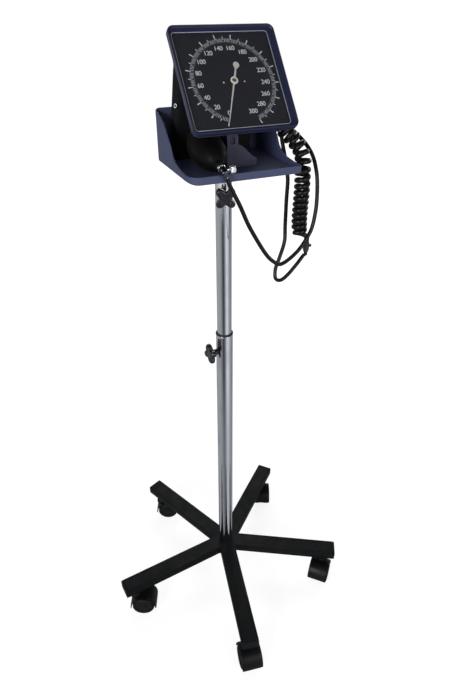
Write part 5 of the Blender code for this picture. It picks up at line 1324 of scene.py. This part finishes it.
@dataclass
class Knobs:
    """Four-lobed clamp knobs."""

    datum: Datum
    radius: float = 0.0195
    lobes: int = 4
    lobe_depth: float = 0.0088
    thickness: float = 0.01
    neck_radius: float = 0.0065
    height_seat: KnobSeat = KnobSeat("height", 0.0163, 187.0, 0.649, 0.0095, 25.0)
    tray_seat: KnobSeat = KnobSeat("tray", 0.0133, -107.0, -0.0466, 0.0145, 45.0)

    def knob(self, seat: KnobSeat, origin: float) -> None:
        """Builds one knob.

        Its outline is R - d ((1 - cos 4a) / 2)^1.3, its side bulges, and its face is a shallow dome.

        Args:
            seat: Where it sits.
            origin: The height from which its own is counted.
        """
        angle = np.linspace(0, 2 * math.pi, 160, endpoint=False)
        wave = (1 - np.cos(self.lobes * (angle - math.radians(seat.lobe_deg)))) / 2
        outline = on_circle(self.radius - self.lobe_depth * wave ** 1.3, angle)
        levels = softened([(0.3, 0.0), (0.8, 0.0), (1.0, 0.0022), (1.0, self.thickness - 0.003),
                           (0.86, self.thickness), (0.52, self.thickness + 0.0004), (0.46, self.thickness - 0.0006),
                           (0.1, self.thickness - 0.0006)],
                          [0, 0.02, 0.0018, 0.0022, 0.04, 0.02, 0.02, 0], 6)
        grid = np.stack([raised(outline * share, seat.neck + level) for share, level in levels])
        stem = softened([(0, -0.0016), (0.003, -0.0016), (0.003, 0), (self.neck_radius - 0.0006, 0),
                         (self.neck_radius - 0.0006, seat.neck - 0.003), (self.neck_radius + 0.0012, seat.neck + 0.001),
                         (0, seat.neck + 0.001)], [0, 0, 0, 0.0006, 0.002, 0, 0], 5)
        foot = polar(seat.tube_radius, seat.heading_deg) + self.datum.mast[:2]
        place = (Matrix.Translation((*foot, origin + seat.height))
                 @ rotation(seat.heading_deg, "Z") @ rotation(90, "Y"))
        node = f"{seat.word}_knob"
        Piece(f"{seat.word}_clamp_knob", Finish.KNOB, node, "knob_black", (node,)).made_of(
            (lofted(grid), turned(stem, 40)), matrix_mover(place))

    def build(self) -> None:
        """Builds the two knobs, one counted from the floor and one from the tray."""
        self.knob(self.height_seat, 0.0)
        self.knob(self.tray_seat, float(self.datum.tray[2]))


@dataclass
class Tray:
    """Open basket whose side walls sweep up to the back."""

    datum: Datum
    width: float = 0.18
    front: float = -0.0935
    back: float = 0.0593
    floor: float = 0.0035
    wall: float = 0.0026
    lip: float = 0.009
    wall_foot: float = 0.006
    foot: float = 0.0018
    fillet: float = 0.0035
    hem: float = 0.0026
    hem_reach: float = 0.016
    hem_insets: Pair = (0.0028, 0.012)
    back_height: float = 0.0785
    radii: tuple[float, float, float, float] = (0.009, 0.009, 0.019, 0.0055)
    depth_shares: tuple[float, ...] = (0.0, 0.0556, 0.2651, 0.3698, 0.481, 0.5465, 0.6119, 0.7232, 0.85, 0.9457, 1.0)
    rise_shares: tuple[float, ...] = (0.0, 0.0, 0.0288, 0.0719, 0.1871, 0.3885, 0.5324, 0.7626, 0.885, 0.9496, 1.0)

    def loop(self, inset: float) -> Array:
        """Returns the tray's plan outline moved inwards; its corners lose as much radius, down to 1 mm."""
        radii = [max(radius - inset, 0.001) for radius in self.radii]
        return rectangle_ring(self.width - 2 * inset, self.back - self.front - 2 * inset, radii, 44, 13,
                              (0.0, (self.front + self.back) / 2))

    def rim_height(self, y: Array) -> Array:
        """Returns the rim's height: the lip plus the eased share of the rise at that depth."""
        share = (y - self.front) / (self.back - self.front)
        return self.lip + (self.back_height - self.lip) * eased(share, self.depth_shares, self.rise_shares)

    def build(self) -> None:
        """Builds the tray as rings from under its floor, out, up its wall, over its half-round rim and in again.

        A ring is (inset, level, share of the wall's height). The underside sinks into a rounded
        hem along the front, by a smoothstep of the distance to the front edge.
        """
        half = self.wall / 2
        rim = self.rim_height(self.loop(half)[:, 1])
        corner = np.linspace(0, math.pi / 2, 6)
        under = [(0.012, 0.0), (0.0065, 0.0), (0.0028, 0.0)]
        under += [(self.foot * (1 - math.sin(a)), self.foot * (1 - math.cos(a))) for a in corner]
        rows = [(0.0, 0.0, share) for share in (0.25, 0.5, 0.75)]
        rows += [(half - half * math.cos(a), half * math.sin(a) - half, 1.0) for a in np.linspace(0, math.pi, 9)]
        rows += [(self.wall, 0.0, share) for share in (0.75, 0.5, 0.25)]
        rows += [(self.wall + self.fillet * (1 - math.cos(a)), self.floor + self.fillet * (1 - math.sin(a)), 0.0)
                 for a in corner]
        rows += [(0.012, self.floor, 0.0), (0.03, self.floor, 0.0)]
        away = np.clip((self.loop(0.0)[:, 1] - self.front) / self.hem_reach, 0, 1)
        sunk = self.hem * (1 - away * away * (3 - 2 * away))
        grid = [raised(self.loop(inset), level - sunk * np.interp(inset, self.hem_insets, (1.0, 0.0)))
                for inset, level in under]
        for inset, level, share in rows:
            top = rim if share == 1 else np.maximum(rim - self.lip, 0.0) + self.wall_foot
            grid.append(raised(self.loop(inset), level + share * top))
        Piece("basket", Finish.TRAY, "head", "tray_navy", ("tray",)).made_of(
            [lofted(np.stack(grid))], self.datum.in_head)


@dataclass
class Gauge:
    """Square dial gauge on its stand: case, bezel, pane, dial, scale and pointer."""

    datum: Datum
    size: float = 0.163
    tall: float = 0.1595
    centre: Pair = (0.0008, 0.003)
    corner: float = 0.01
    opening: Pair = (0.1452, 0.142)
    opening_centre: Pair = (-0.0032, 0.0008)
    opening_corner: float = 0.0045
    bead_out: float = 0.00035
    bead_radius: float = 0.00055
    bead_rise: float = 0.0006
    bead_level: float = -0.0036
    pane_back: float = -0.0047
    case_rim: float = 0.0092
    case_depth: float = 0.0415
    back_size: float = 0.104
    dial_depth: float = 0.0067
    blade_depth: float = 0.0052
    zero_deg: float = -111.5
    step_deg: float = 21.1
    band: Pair = (0.0575, 0.0643)
    figure_radius: float = 0.05
    figure_height: float = 0.0066
    figure_shift: float = -0.0015
    screw_place: Pair = (0.016, -0.0015)

    def frame_ring(self, width: float, height: float, corner: float, centre: Pair) -> Array:
        """Returns a rounded rectangle with the gauge's own count of points."""
        return rectangle_ring(width, height, [corner] * 4, 12, 11, centre)

    def opening_ring(self, out: float = 0.0) -> Array:
        """Returns the opening's outline, moved outwards."""
        width, height = (side + 2 * out for side in self.opening)
        return self.frame_ring(width, height, self.opening_corner + out, self.opening_centre)

    def mixed(self, share: float, level: float) -> Array:
        """Returns a ring between the case's outline (0) and the opening's (1), that far toward the eye."""
        outer = self.frame_ring(self.size, self.tall, self.corner, self.centre)
        return raised(outer * (1 - share) + self.opening_ring() * share, level)

    def ring_piece(self, piece: Piece, section: Array) -> None:
        """Builds a closed ring round the opening from a section of (share, level) points."""
        grid = np.stack([self.mixed(share, level) for share, level in section])
        piece.made_of([lofted(grid, closed_along=True)], self.datum.on_dial)

    def build_bezel(self) -> None:
        """Bezel: rounded outer edge, a narrow ridge, a slope down to the pane and the opening's wall."""
        section = softened([(0.0, -0.008), (0.0, -0.0042), (0.05, -0.0016), (0.13, -0.0003), (0.21, 0.0),
                            (0.28, -0.0006), (0.36, -0.0022), (0.9, -0.0036), (1.0, -0.0038), (1.0, -0.008)],
                           [0.0001, 0.0016, 0.03, 0.04, 0.04, 0.04, 0.05, 0.03, 0.02, 0.0001], 7, closed=True)
        section[:, 0] = np.clip(section[:, 0], 0.0, 1.0)
        self.ring_piece(Piece("bezel_frame", Finish.BEZEL, "gauge", "case_navy", ("bezel",), 50.0), section)
        # The bead round the opening is pale and opaque: a painted highlight for the glint along the pane's clear edge.
        bead = [raised(self.opening_ring(self.bead_out + self.bead_radius * math.cos(angle)),
                       self.bead_level + self.bead_rise * math.sin(angle))
                for angle in np.linspace(0, 2 * math.pi, 12, endpoint=False)]
        Piece("pane_edge", Finish.TRIM, "gauge", "lens_clear").made_of(
            [lofted(np.stack(bead), closed_along=True)], self.datum.on_dial)

    def build_pane_and_dial(self) -> None:
        """Pane and dial plates in the opening."""
        outline = self.opening_ring()
        pane = slab(outline, self.pane_back, self.bead_level, 0.0003)
        Piece("pane", Finish.PANE, "gauge", "lens_clear", ("lens",)).made_of([pane], self.datum.on_dial)
        dial = slab(outline, -self.dial_depth - 0.0011, -self.dial_depth, 0.0002)
        Piece("dial_plate", Finish.DIAL, "gauge", "dial_black", ("dial",)).made_of([dial], self.datum.on_dial)

    def build_case(self) -> None:
        """Case back: a rim as the bezel's, a rounded shoulder, a taper and a flat back with two hinge lugs."""
        section = softened([(0.0, -0.0083), (0.0, -self.case_rim), (0.3, -0.0235), (1.0, -self.case_depth),
                            (1.3, -self.case_depth)], [0, 0.0008, 0.2, 0.12, 0], 9)
        rows = []
        for share, level in section:
            width = self.size + (self.back_size - self.size) * share
            height = self.tall + (self.back_size - self.tall) * share
            centre = self.centre[0] * (1 - share), self.centre[1] * (1 - share)
            rows.append(raised(self.frame_ring(width, height, self.corner * width / self.size, centre), level))
        shells = [lofted(np.stack(rows)).moved(self.datum.on_dial)]
        half, reach = 0.0065, self.datum.front_depth - self.case_depth
        outline = np.vstack([[(-half, -reach - 0.002), (half, -reach - 0.002)], polar(half, np.linspace(0, 180, 17))])
        for low in (-0.0163, 0.0057):
            lug = slab(outline, low, low + 0.0035, 0.0005)
            shells.append(lug.moved(lambda p: self.datum.in_gauge(np.stack([p[:, 2], p[:, 1], p[:, 0]], axis=1))))
        Piece("case_shell", Finish.CASE, "gauge", "case_navy", ("case_back",)).made_of(shells)

    def prisms(self, degrees: Array, inner: Array, outer: Array, inner_width: Array,
               outer_width: Array, levels: Pair) -> list[Shell]:
        """Tapered bars on the dial that point from its centre.

        A bar's corner is r (cos a, sin a) +- w/2 (-sin a, cos a) at its two levels.

        Args:
            degrees: Their headings.
            inner: Inner radii.
            outer: Outer radii.
            inner_width: Widths at the inner ends.
            outer_width: Widths at the outer ends.
            levels: Their underside and top.

        Returns:
            A surface for each.
        """
        way, across = polar(1.0, degrees), polar(1.0, degrees + 90)
        corners = [way * radius[:, None] + sign * across * width[:, None] / 2
                   for radius, width, sign in ((inner, inner_width, -1), (outer, outer_width, -1),
                                               (outer, outer_width, 1), (inner, inner_width, 1))]
        return [lofted(np.stack([raised(ring, level) for level in levels])) for ring in np.stack(corners, axis=1)]

    def on_plate(self, points: Array) -> Array:
        """Moves points from the dial's own plane to the world."""
        return self.datum.on_dial(points - UP * self.dial_depth)

    def build_scale(self) -> None:
        """Grey band, ticks at each 2, 10 and 20 units, and the figures at each 20."""
        sweep = self.zero_deg - np.linspace(0, 15 * self.step_deg, 181)
        low, high = self.band
        section = ((low, -0.00002), (high, -0.00002), (high, 0.00005), (low, 0.00005))
        grid = np.stack([raised(polar(1.0, sweep) * radius, level) for radius, level in section], axis=1)
        Piece("scale_band", Finish.BAND, "gauge", "dial_black").made_of([lofted(grid)], self.on_plate)
        count = np.arange(151)
        degrees = self.zero_deg - self.step_deg / 10 * count
        tens, twenties = count % 5 == 0, count % 10 == 0
        inner = np.where(tens, 0.0622, 0.0588)
        outer = np.where(twenties, 0.07, np.where(tens, 0.0668, 0.064))
        inner_width = np.where(twenties, 0.0006, 0.00034)
        outer_width = np.where(twenties, 0.0016, np.where(tens, 0.001, 0.00034))
        Piece("scale_ticks", Finish.SCALE, "gauge", "pointer_white").made_of(
            self.prisms(degrees, inner, outer, inner_width, outer_width, (-0.00002, 0.0001)), self.on_plate)
        self.build_figures()
        dome = turned(softened([(0, -0.0001), (0.0011, -0.0001), (0.0011, 0.0002), (0, 0.0004)], [0, 0, 0.0002, 0]), 20)
        across, up = self.screw_place
        Piece("dial_screws", Finish.SCALE, "gauge", "pointer_white").made_of(
            [dome.moved(lambda p: p + (x, up, 0.0)) for x in (-across, across)], self.on_plate)

    def build_figures(self) -> None:
        """Figures 0 to 300: text turned into thin solids and laid upright round the dial's centre."""
        points, faces, offset = [], [], 0
        for number in range(16):
            curve = bpy.data.curves.new(f"figure_{number}", "FONT")
            curve.body = str(20 * number)
            curve.size = self.figure_height / 0.7
            curve.align_x, curve.align_y = "CENTER", "CENTER"
            curve.space_character = 0.96
            curve.extrude = 0.00004
            text = bpy.data.objects.new(f"figure_{number}", curve)
            mesh = bpy.data.meshes.new_from_object(text)
            places = np.zeros(len(mesh.vertices) * 3)
            mesh.vertices.foreach_get("co", places)
            spot = polar(self.figure_radius, self.zero_deg - self.step_deg * number) + (self.figure_shift, 0.0)
            points.append(places.reshape(-1, 3) + (*spot, 0.00004))
            faces += [[v + offset for v in polygon.vertices] for polygon in mesh.polygons]
            offset += len(mesh.vertices)
            bpy.data.objects.remove(text)
            bpy.data.curves.remove(curve)
            bpy.data.meshes.remove(mesh)
        made = bpy.data.meshes.new("scale_figures")
        made.from_pydata(self.on_plate(np.vstack(points)).tolist(), [], faces)
        Piece("scale_figures", Finish.SCALE, "gauge", "pointer_white").dressed(made)

    def build_pointer(self) -> None:
        """Pointer: a tapered blade with a round tail, and a hub of a pale ring and a brass cap."""
        tail, disc, half = 0.0245, 0.0046, 0.0012
        spread = math.degrees(math.asin(half / disc))
        round_end = polar(disc, np.linspace(spread, 360 - spread, 33)) - (tail, 0)
        blade = np.vstack([[(-0.005, -half * 1.25), (0.0052, -half * 1.1), (0.0645, -0.00045), (0.065, 0.0),
                            (0.0645, 0.00045), (0.0052, half * 1.1), (-0.005, half * 1.25)], round_end])
        level = self.dial_depth - self.blade_depth
        turn = rotation(self.zero_deg, "Z")
        plate = slab(blade, level - 0.0003, level + 0.0003, 0.00012).moved(matrix_mover(turn))
        Piece("pointer_blade", Finish.POINTER, "pointer", "pointer_white", ("pointer",)).made_of([plate], self.on_plate)
        ring = softened([(0.003, level - 0.0003), (0.0056, level - 0.0003), (0.0056, level + 0.0008),
                         (0.003, level + 0.0008)], 0.0003, 4, closed=True)
        Piece("pointer_hub_ring", Finish.POINTER, "pointer", "pointer_white").made_of(
            [turned(ring, 48, ring=True)], self.on_plate)
        cap = softened([(0, level - 0.0003), (0.0034, level - 0.0003), (0.0034, level + 0.001),
                        (0.0022, level + 0.0013), (0.002, level + 0.0009), (0, level + 0.0009)],
                       [0, 0, 0.0004, 0.0003, 0.0002, 0], 4)
        Piece("pointer_hub_cap", Finish.BRASS, "pointer", "movement_brass").made_of([turned(cap, 48)], self.on_plate)

    def build(self) -> None:
        """Builds the gauge and its stand, and dresses the movement inside."""
        self.build_bezel()
        self.build_pane_and_dial()
        self.build_case()
        self.build_scale()
        self.build_pointer()
        Piece("gauge_bracket", Finish.STAND, "head", "stand_navy", ("gauge_stand",)).rounded_copy("gauge_stand", 0.0012)
        Piece("hose_port", Finish.FITTING, "gauge", "fitting_black", ("gauge_port",)).rounded_copy("gauge_port", 0.0004)
        dress_node("tilt_bolt", Finish.STEEL)
        for node in ("diaphragm_capsule", "movement_frame", "sector_gear"):
            dress_node(node, Finish.BRASS)
        dress_node("pinion_arbor", Finish.STEEL)


@dataclass
class Bulb:
    """Rubber bulb with its valve, release screw and inlet."""

    datum: Datum
    place: Pair = (-0.042, -0.038)
    radius: float = 0.026
    half_length: float = 0.046
    neck_radius: float = 0.0085
    yaw_deg: float = 2.0
    pitch_deg: float = 16.0
    floor: float = 0.0038
    nozzle_side_deg: float = 21.0
    nozzle_forward_deg: float = 20.0
    nozzle_length: float = 0.0105
    nozzle_height: float = 0.0643
    screw_place: Triple = (0.0055, 0.0, 0.058)

    def carrier(self) -> Matrix:
        """Returns the bulb's frame in the tray's: Z runs along it to the valve."""
        pitch = math.radians(self.pitch_deg)
        rise = self.floor + math.hypot(self.half_length * math.sin(pitch), self.radius * math.cos(pitch))
        return (Matrix.Translation((*self.place, rise)) @ rotation(self.yaw_deg, "Z")
                @ Matrix.Rotation(math.pi / 2 + pitch, 4, "X"))

    def in_world(self, points: Array) -> Array:
        """Moves points from the bulb's frame to the world."""
        return self.datum.in_head(matrix_mover(self.carrier())(points))

    def nozzle(self) -> tuple[Array, Array]:
        """Returns the nozzle's root and unit direction in the bulb's frame."""
        side, forward = math.radians(self.nozzle_side_deg), math.radians(self.nozzle_forward_deg)
        aim = np.array((math.sin(side), -math.cos(side), math.sin(forward)))
        return UP * self.nozzle_height, aim / np.linalg.norm(aim)

    def mouth(self) -> tuple[Array, Array]:
        """Returns the nozzle's end and direction in the tray's frame."""
        root, aim = self.nozzle()
        turn = np.array(self.carrier().to_3x3())
        tip = matrix_mover(self.carrier())((root + aim * self.nozzle_length)[None])[0]
        return tip, turn @ aim

    def build_rubber(self) -> None:
        """Bulb: r = R sin(a)^0.94 and z = L cos(a), its neck rolled into two beads."""
        start = math.asin(self.neck_radius / self.radius)
        angle = np.linspace(start, math.pi - 0.12, 60)
        body = np.stack([self.radius * np.sin(angle) ** 0.94, self.half_length * np.cos(angle)], axis=1)
        bottom = self.half_length
        neck = softened([(0, 0.05), (0.0078, 0.05), (0.0088, 0.0488), (0.008, 0.0474), (0.0086, 0.046),
                         (0.0085, 0.0445)], [0, 0.0006, 0.001, 0.001, 0.001, 0], 5)
        tail = softened([tuple(body[-1]), (0.0068, -bottom + 0.0006), (0.0062, -bottom - 0.0004),
                         (0, -bottom - 0.0004)], [0, 0.001, 0.0008, 0], 4)
        Piece("rubber_bulb", Finish.BULB, "head", "bulb_rubber", ("bulb",), 60.0).made_of(
            [turned(np.vstack([neck, body, tail]), 96)], self.in_world)

    def build_valve(self) -> None:
        """Plated valve: collar, grooved barrel with a domed end, and a barbed nozzle set aslant; the barrel's and
        nozzle's dark plating is a painted dark reflection.
        """
        barrel = softened([
            (0, 0.0698), (0.0036, 0.0698), (0.0055, 0.0682), (0.0055, 0.064), (0.005, 0.0634), (0.005, 0.0626),
            (0.0055, 0.062), (0.0055, 0.055), (0.004, 0.055), (0.004, 0.043), (0, 0.043)],
            [0, 0.001, 0.0012, 0.0003, 0.0002, 0.0002, 0.0003, 0.0004, 0, 0, 0], 5)
        collar = softened([(0.0042, 0.0503), (0.0066, 0.0503), (0.0066, 0.0535), (0.0059, 0.055), (0.0042, 0.055)],
                          [0, 0.0004, 0.0004, 0.0003, 0], 5, closed=True)
        root, aim = self.nozzle()
        spout = softened([(0, 0), (0.0033, 0), (0.0033, 0.0062), (0.0028, 0.0066), (0.0033, 0.0088), (0.0026, 0.0105),
                          (0, 0.0105)], [0, 0, 0.0003, 0.0003, 0.0005, 0.0004, 0], 5)
        Piece("air_valve", Finish.SMOKED, "head", "chrome", ("valve_body",)).made_of(
            (turned(barrel, 48), turned(spout, 32).moved(along_axis(root, root + aim))), self.in_world)
        Piece("valve_collar", Finish.CHROME, "head", "chrome").made_of([turned(collar, 48, ring=True)], self.in_world)
        inlet = softened([(0, -0.0402), (0.003, -0.0402), (0.003, -0.0463), (0.006, -0.0463), (0.006, -0.05),
                          (0.0048, -0.0513), (0.0016, -0.0513), (0.0016, -0.05), (0, -0.05)],
                         [0, 0, 0.0002, 0.0006, 0.0006, 0.0005, 0.0002, 0.0001, 0], 5)
        Piece("inlet_valve", Finish.CHROME, "head", "chrome", ("bulb_inlet_valve",)).made_of(
            [turned(inlet, 48)], self.in_world)

    def build_screw(self) -> None:
        """Release screw: a knob with rounded knurls, r = R - d (1 - |sin(7a)|^0.6), on a thin stem."""
        angle = np.linspace(0, 2 * math.pi, 168, endpoint=False)
        outline = on_circle(0.006 - 0.00045 * (1 - np.abs(np.sin(7 * angle)) ** 0.6), angle)
        knob = slab(outline, 0.0048, 0.0128, 0.0007)
        stem = softened([(0, -0.0027), (0.0018, -0.0027), (0.0018, 0.0034), (0.003, 0.004), (0.003, 0.0052),
                         (0, 0.0052)], [0, 0, 0.0004, 0.0004, 0, 0], 4)
        dimple = softened([(0, 0.0126), (0.0034, 0.0126), (0.003, 0.0131), (0.0022, 0.0131), (0, 0.0129)],
                          [0, 0, 0.0003, 0.0003, 0], 4)
        turn = Matrix.Translation(self.screw_place) @ rotation(90, "Y")
        Piece("release_knob", Finish.NICKEL, "release_screw", "chrome", ("release_screw",)).made_of(
            [shell.moved(matrix_mover(turn)) for shell in (knob, turned(stem, 24), turned(dimple, 32))], self.in_world)

    def build(self) -> None:
        """Builds the bulb and what is screwed to it."""
        self.build_rubber()
        self.build_valve()
        self.build_screw()


@dataclass
class Cuff:
    """Arm cuff rolled flat into a spiral and stood on its edge in the back of the tray."""

    datum: Datum
    front: float = 0.028
    thickness: float = 0.0282
    straight: float = 0.118
    shift: float = 0.0035
    lean: float = 0.1
    bar_deg: float = 48.0
    height: float = 0.1455
    low: float = 0.0038
    strip: float = 0.0054
    pitch: float = 0.0062
    turns: float = 1.72
    start_share: float = 0.1
    hem: float = 0.1
    binding: float = 0.0105
    stations: int = 420
    plan_points: int = 1200
    patch_size: Pair = (0.094, 0.05)
    bar_drop: float = 0.066
    bar_wire: float = 0.0008

    @property
    def outer_radius(self) -> float:
        """Returns the spiral's first radius, to the strip's middle."""
        return (self.thickness - self.strip) / 2

    def leaned(self, points: Array) -> Array:
        """Moves points of the upright cuff to the world, leaning to the right: x grows with the height."""
        upright = np.asarray(points, float)
        shift = self.lean * (upright[:, 2] - self.height / 2)
        return self.datum.in_head(upright + shift[:, None] * (1.0, 0.0, 0.0))

    def plan(self) -> tuple[Array, Array]:
        """Spiral's middle line in plan and its unit normals.

        A point is core + r n: along the straight parts the core travels and n stays, round the
        ends the core stays and n turns by half a turn, and r falls evenly from the outer radius
        by a pitch a turn. The line starts at the back, near the right.

        Returns:
            The line's points and their normals.
        """
        bend = math.pi * self.outer_radius * 0.8
        lap = 2 * (self.straight + bend)
        travel = self.start_share * self.straight + np.linspace(0, self.turns, self.plan_points) * lap
        turn, along = np.divmod(travel, lap)
        radius = self.outer_radius - self.pitch * (travel - travel[0]) / lap
        knots = np.cumsum([0.0, self.straight, bend, self.straight, bend])
        core_x = np.interp(along, knots, np.array((0.5, -0.5, -0.5, 0.5, 0.5)) * self.straight)
        heading = np.interp(along, knots, (90.0, 90.0, 270.0, 270.0, 450.0))
        normal = polar(1.0, heading)
        core = np.column_stack([core_x + self.shift, np.full(len(core_x), self.front + self.thickness / 2)])
        return core + normal * radius[:, None], normal

    def strip_shell(self, low: float, high: float, thickness: float, tall_points: int, relief: bool = True) -> Shell:
        """Strip along the spiral with a rounded cross-section.

        Its faces swell between the hems by a sine over the height, sink at the stitch lines, and
        carry slow creases: a sum of sines over the height and the distance travelled.

        Args:
            low: Its lower edge.
            high: Its upper edge.
            thickness: Its thickness.
            tall_points: Points over its height.
            relief: Adds the swelling and creases.

        Returns:
            The closed surface.
        """
        line, normal = self.plan()
        places, wanted = np.linspace(0, 1, len(line)), np.linspace(0, 1, self.stations)
        line, normal = read_at(wanted, places, line), read_at(wanted, places, normal)
        normal /= np.linalg.norm(normal, axis=1)[:, None]
        ring = rectangle_ring(thickness, high - low, [min(thickness, high - low) * 0.42] * 4, tall_points, 5)
        run = running_length(line)[:, None]
        across, rise = ring[None, :, 0], ring[None, :, 1] + (low + high) / 2
        if relief:
            up = np.clip((rise - self.low) / self.height, 0, 1)
            inside = np.clip((up - self.hem) / (1 - 2 * self.hem), 0, 1)
            groove = sum(np.exp(-((up - level) / 0.012) ** 2) for level in (self.hem, 1 - self.hem, 0.5))
            crease = (np.sin(run * 92 + 9 * up) + 0.7 * np.sin(run * 47 - 14 * up + 1.3)
                      + 0.5 * np.sin(run * 160 + 5 * up))
            across = across * (0.9 + 0.1 * np.sin(math.pi * inside) ** 0.7 - 0.1 * groove + 0.018 * crease)
            rise = rise - 0.0009 * (1 + np.sin(run * 31 + 0.8)) * np.clip(up - 0.5, 0, 1)
        reach = across * np.ones((len(line), 1))
        return lofted(np.stack([line[:, :1] + normal[:, :1] * reach, line[:, 1:] + normal[:, 1:] * reach,
                                rise * np.ones((len(line), 1))], axis=-1))

    def build(self) -> None:
        """Builds the cuff, its bound edges, its fastener patch, its seam stitches and its metal bar."""
        top = self.low + self.height
        body = self.strip_shell(self.low + 0.0006, top - 0.0006, self.strip, 46)
        cuff = Piece("arm_cuff", Finish.CUFF, "head", "cuff_fabric", ("cuff",), 60.0).made_of([body], self.leaned)
        edges = [self.strip_shell(low, low + self.binding, self.strip + 0.0006, 5, relief=False)
                 for low in (self.low, top - self.binding)]
        Piece("cuff_binding", Finish.BINDING, "head", "cuff_fabric").made_of(edges, self.leaned)
        self.build_stitches(top)
        self.build_patch()
        self.build_bar(top)

    def build_stitches(self, top: float) -> None:
        """Stitches along the bindings: small lying ovals on the outer face of the first turn."""
        line, normal = self.plan()
        run, wanted = running_length(line), np.arange(0.004, 0.255, 0.0034)
        spots, ways = read_at(wanted, run, line), read_at(wanted, run, normal)
        rings = np.array([(-1.0, 0.35), (-0.6, 0.9), (0.6, 0.9), (1.0, 0.35)])
        along = rings[:, :1] * 0.0011
        angle = np.linspace(0, 2 * math.pi, 6, endpoint=False)
        out, rise = np.moveaxis(on_circle(rings[:, 1:] * 0.00028, angle), -1, 0)
        shells = []
        for level in (self.low + 0.0088, top - 0.0088):
            for spot, way in zip(spots, ways):
                middle = spot + way * (self.strip / 2 + 0.00035)
                grid = np.stack([middle[0] - along * way[1] + out * way[0],
                                 middle[1] + along * way[0] + out * way[1], level + rise], axis=-1)
                shells.append(lofted(grid))
        Piece("cuff_stitches", Finish.THREAD, "head", "cuff_fabric").made_of(shells, self.leaned)

    def build_patch(self) -> None:
        """Loop-pile patch on the cuff's front, with a pillowed face."""
        ring = rectangle_ring(*self.patch_size, [0.004] * 4, 14, 7)
        rows = []
        for share, out in ((0.9, -0.0004), (0.99, 0.0), (1.0, 0.0004), (0.985, 0.0009), (0.93, 0.0011),
                           (0.6, 0.0012), (0.2, 0.0012)):
            rows.append(np.column_stack([ring[:, 0] * share + 0.006, np.full(len(ring), self.front + 0.0004 - out),
                                         ring[:, 1] * share + self.low + self.height * 0.52]))
        Piece("cuff_loop_patch", Finish.PILE, "head", "cuff_fabric").made_of([lofted(np.stack(rows))], self.leaned)

    def build_bar(self, top: float) -> None:
        """Metal bar on the cuff's left fold: a flattened loop of round wire, lying along the fold's face."""
        angle = np.linspace(0, 2 * math.pi, 72)
        way, across = polar(1.0, 180.0 + self.bar_deg), polar(1.0, 270.0 + self.bar_deg)
        fold = np.array((self.shift - self.straight / 2, self.front + self.thickness / 2))
        spot = fold + way * (self.thickness / 2 + 0.0006)
        side_on, up_on = (np.sign(wave) * np.abs(wave) ** 0.5 for wave in (np.cos(angle), np.sin(angle)))
        loop = raised(spot + across * (0.0016 * side_on)[:, None], top - self.bar_drop + 0.0025 * up_on)[:-1]
        side = np.tile((*way, 0.0), (len(loop), 1))
        grid = rings_round(loop, directions(np.vstack([loop, loop[:1]]))[:-1], side, self.bar_wire, 10)
        Piece("cuff_bar", Finish.STEEL, "head", "steel").made_of([lofted(grid, closed_along=True)], self.leaned)


def main() -> None:
    """Builds the scene piece by piece."""
    logging.basicConfig(level=logging.INFO, format="%(message)s")
    datum = Datum.read()
    Studio(datum).build()
    bulb = Bulb(datum)
    Hoses(datum).build(*bulb.mouth())
    Base(datum).build()
    Casters(datum).build()
    Mast(datum).build()
    Knobs(datum).build()
    Tray(datum).build()
    Gauge(datum).build()
    bulb.build()
    Cuff(datum).build()


if __name__ == "__main__":
    main()
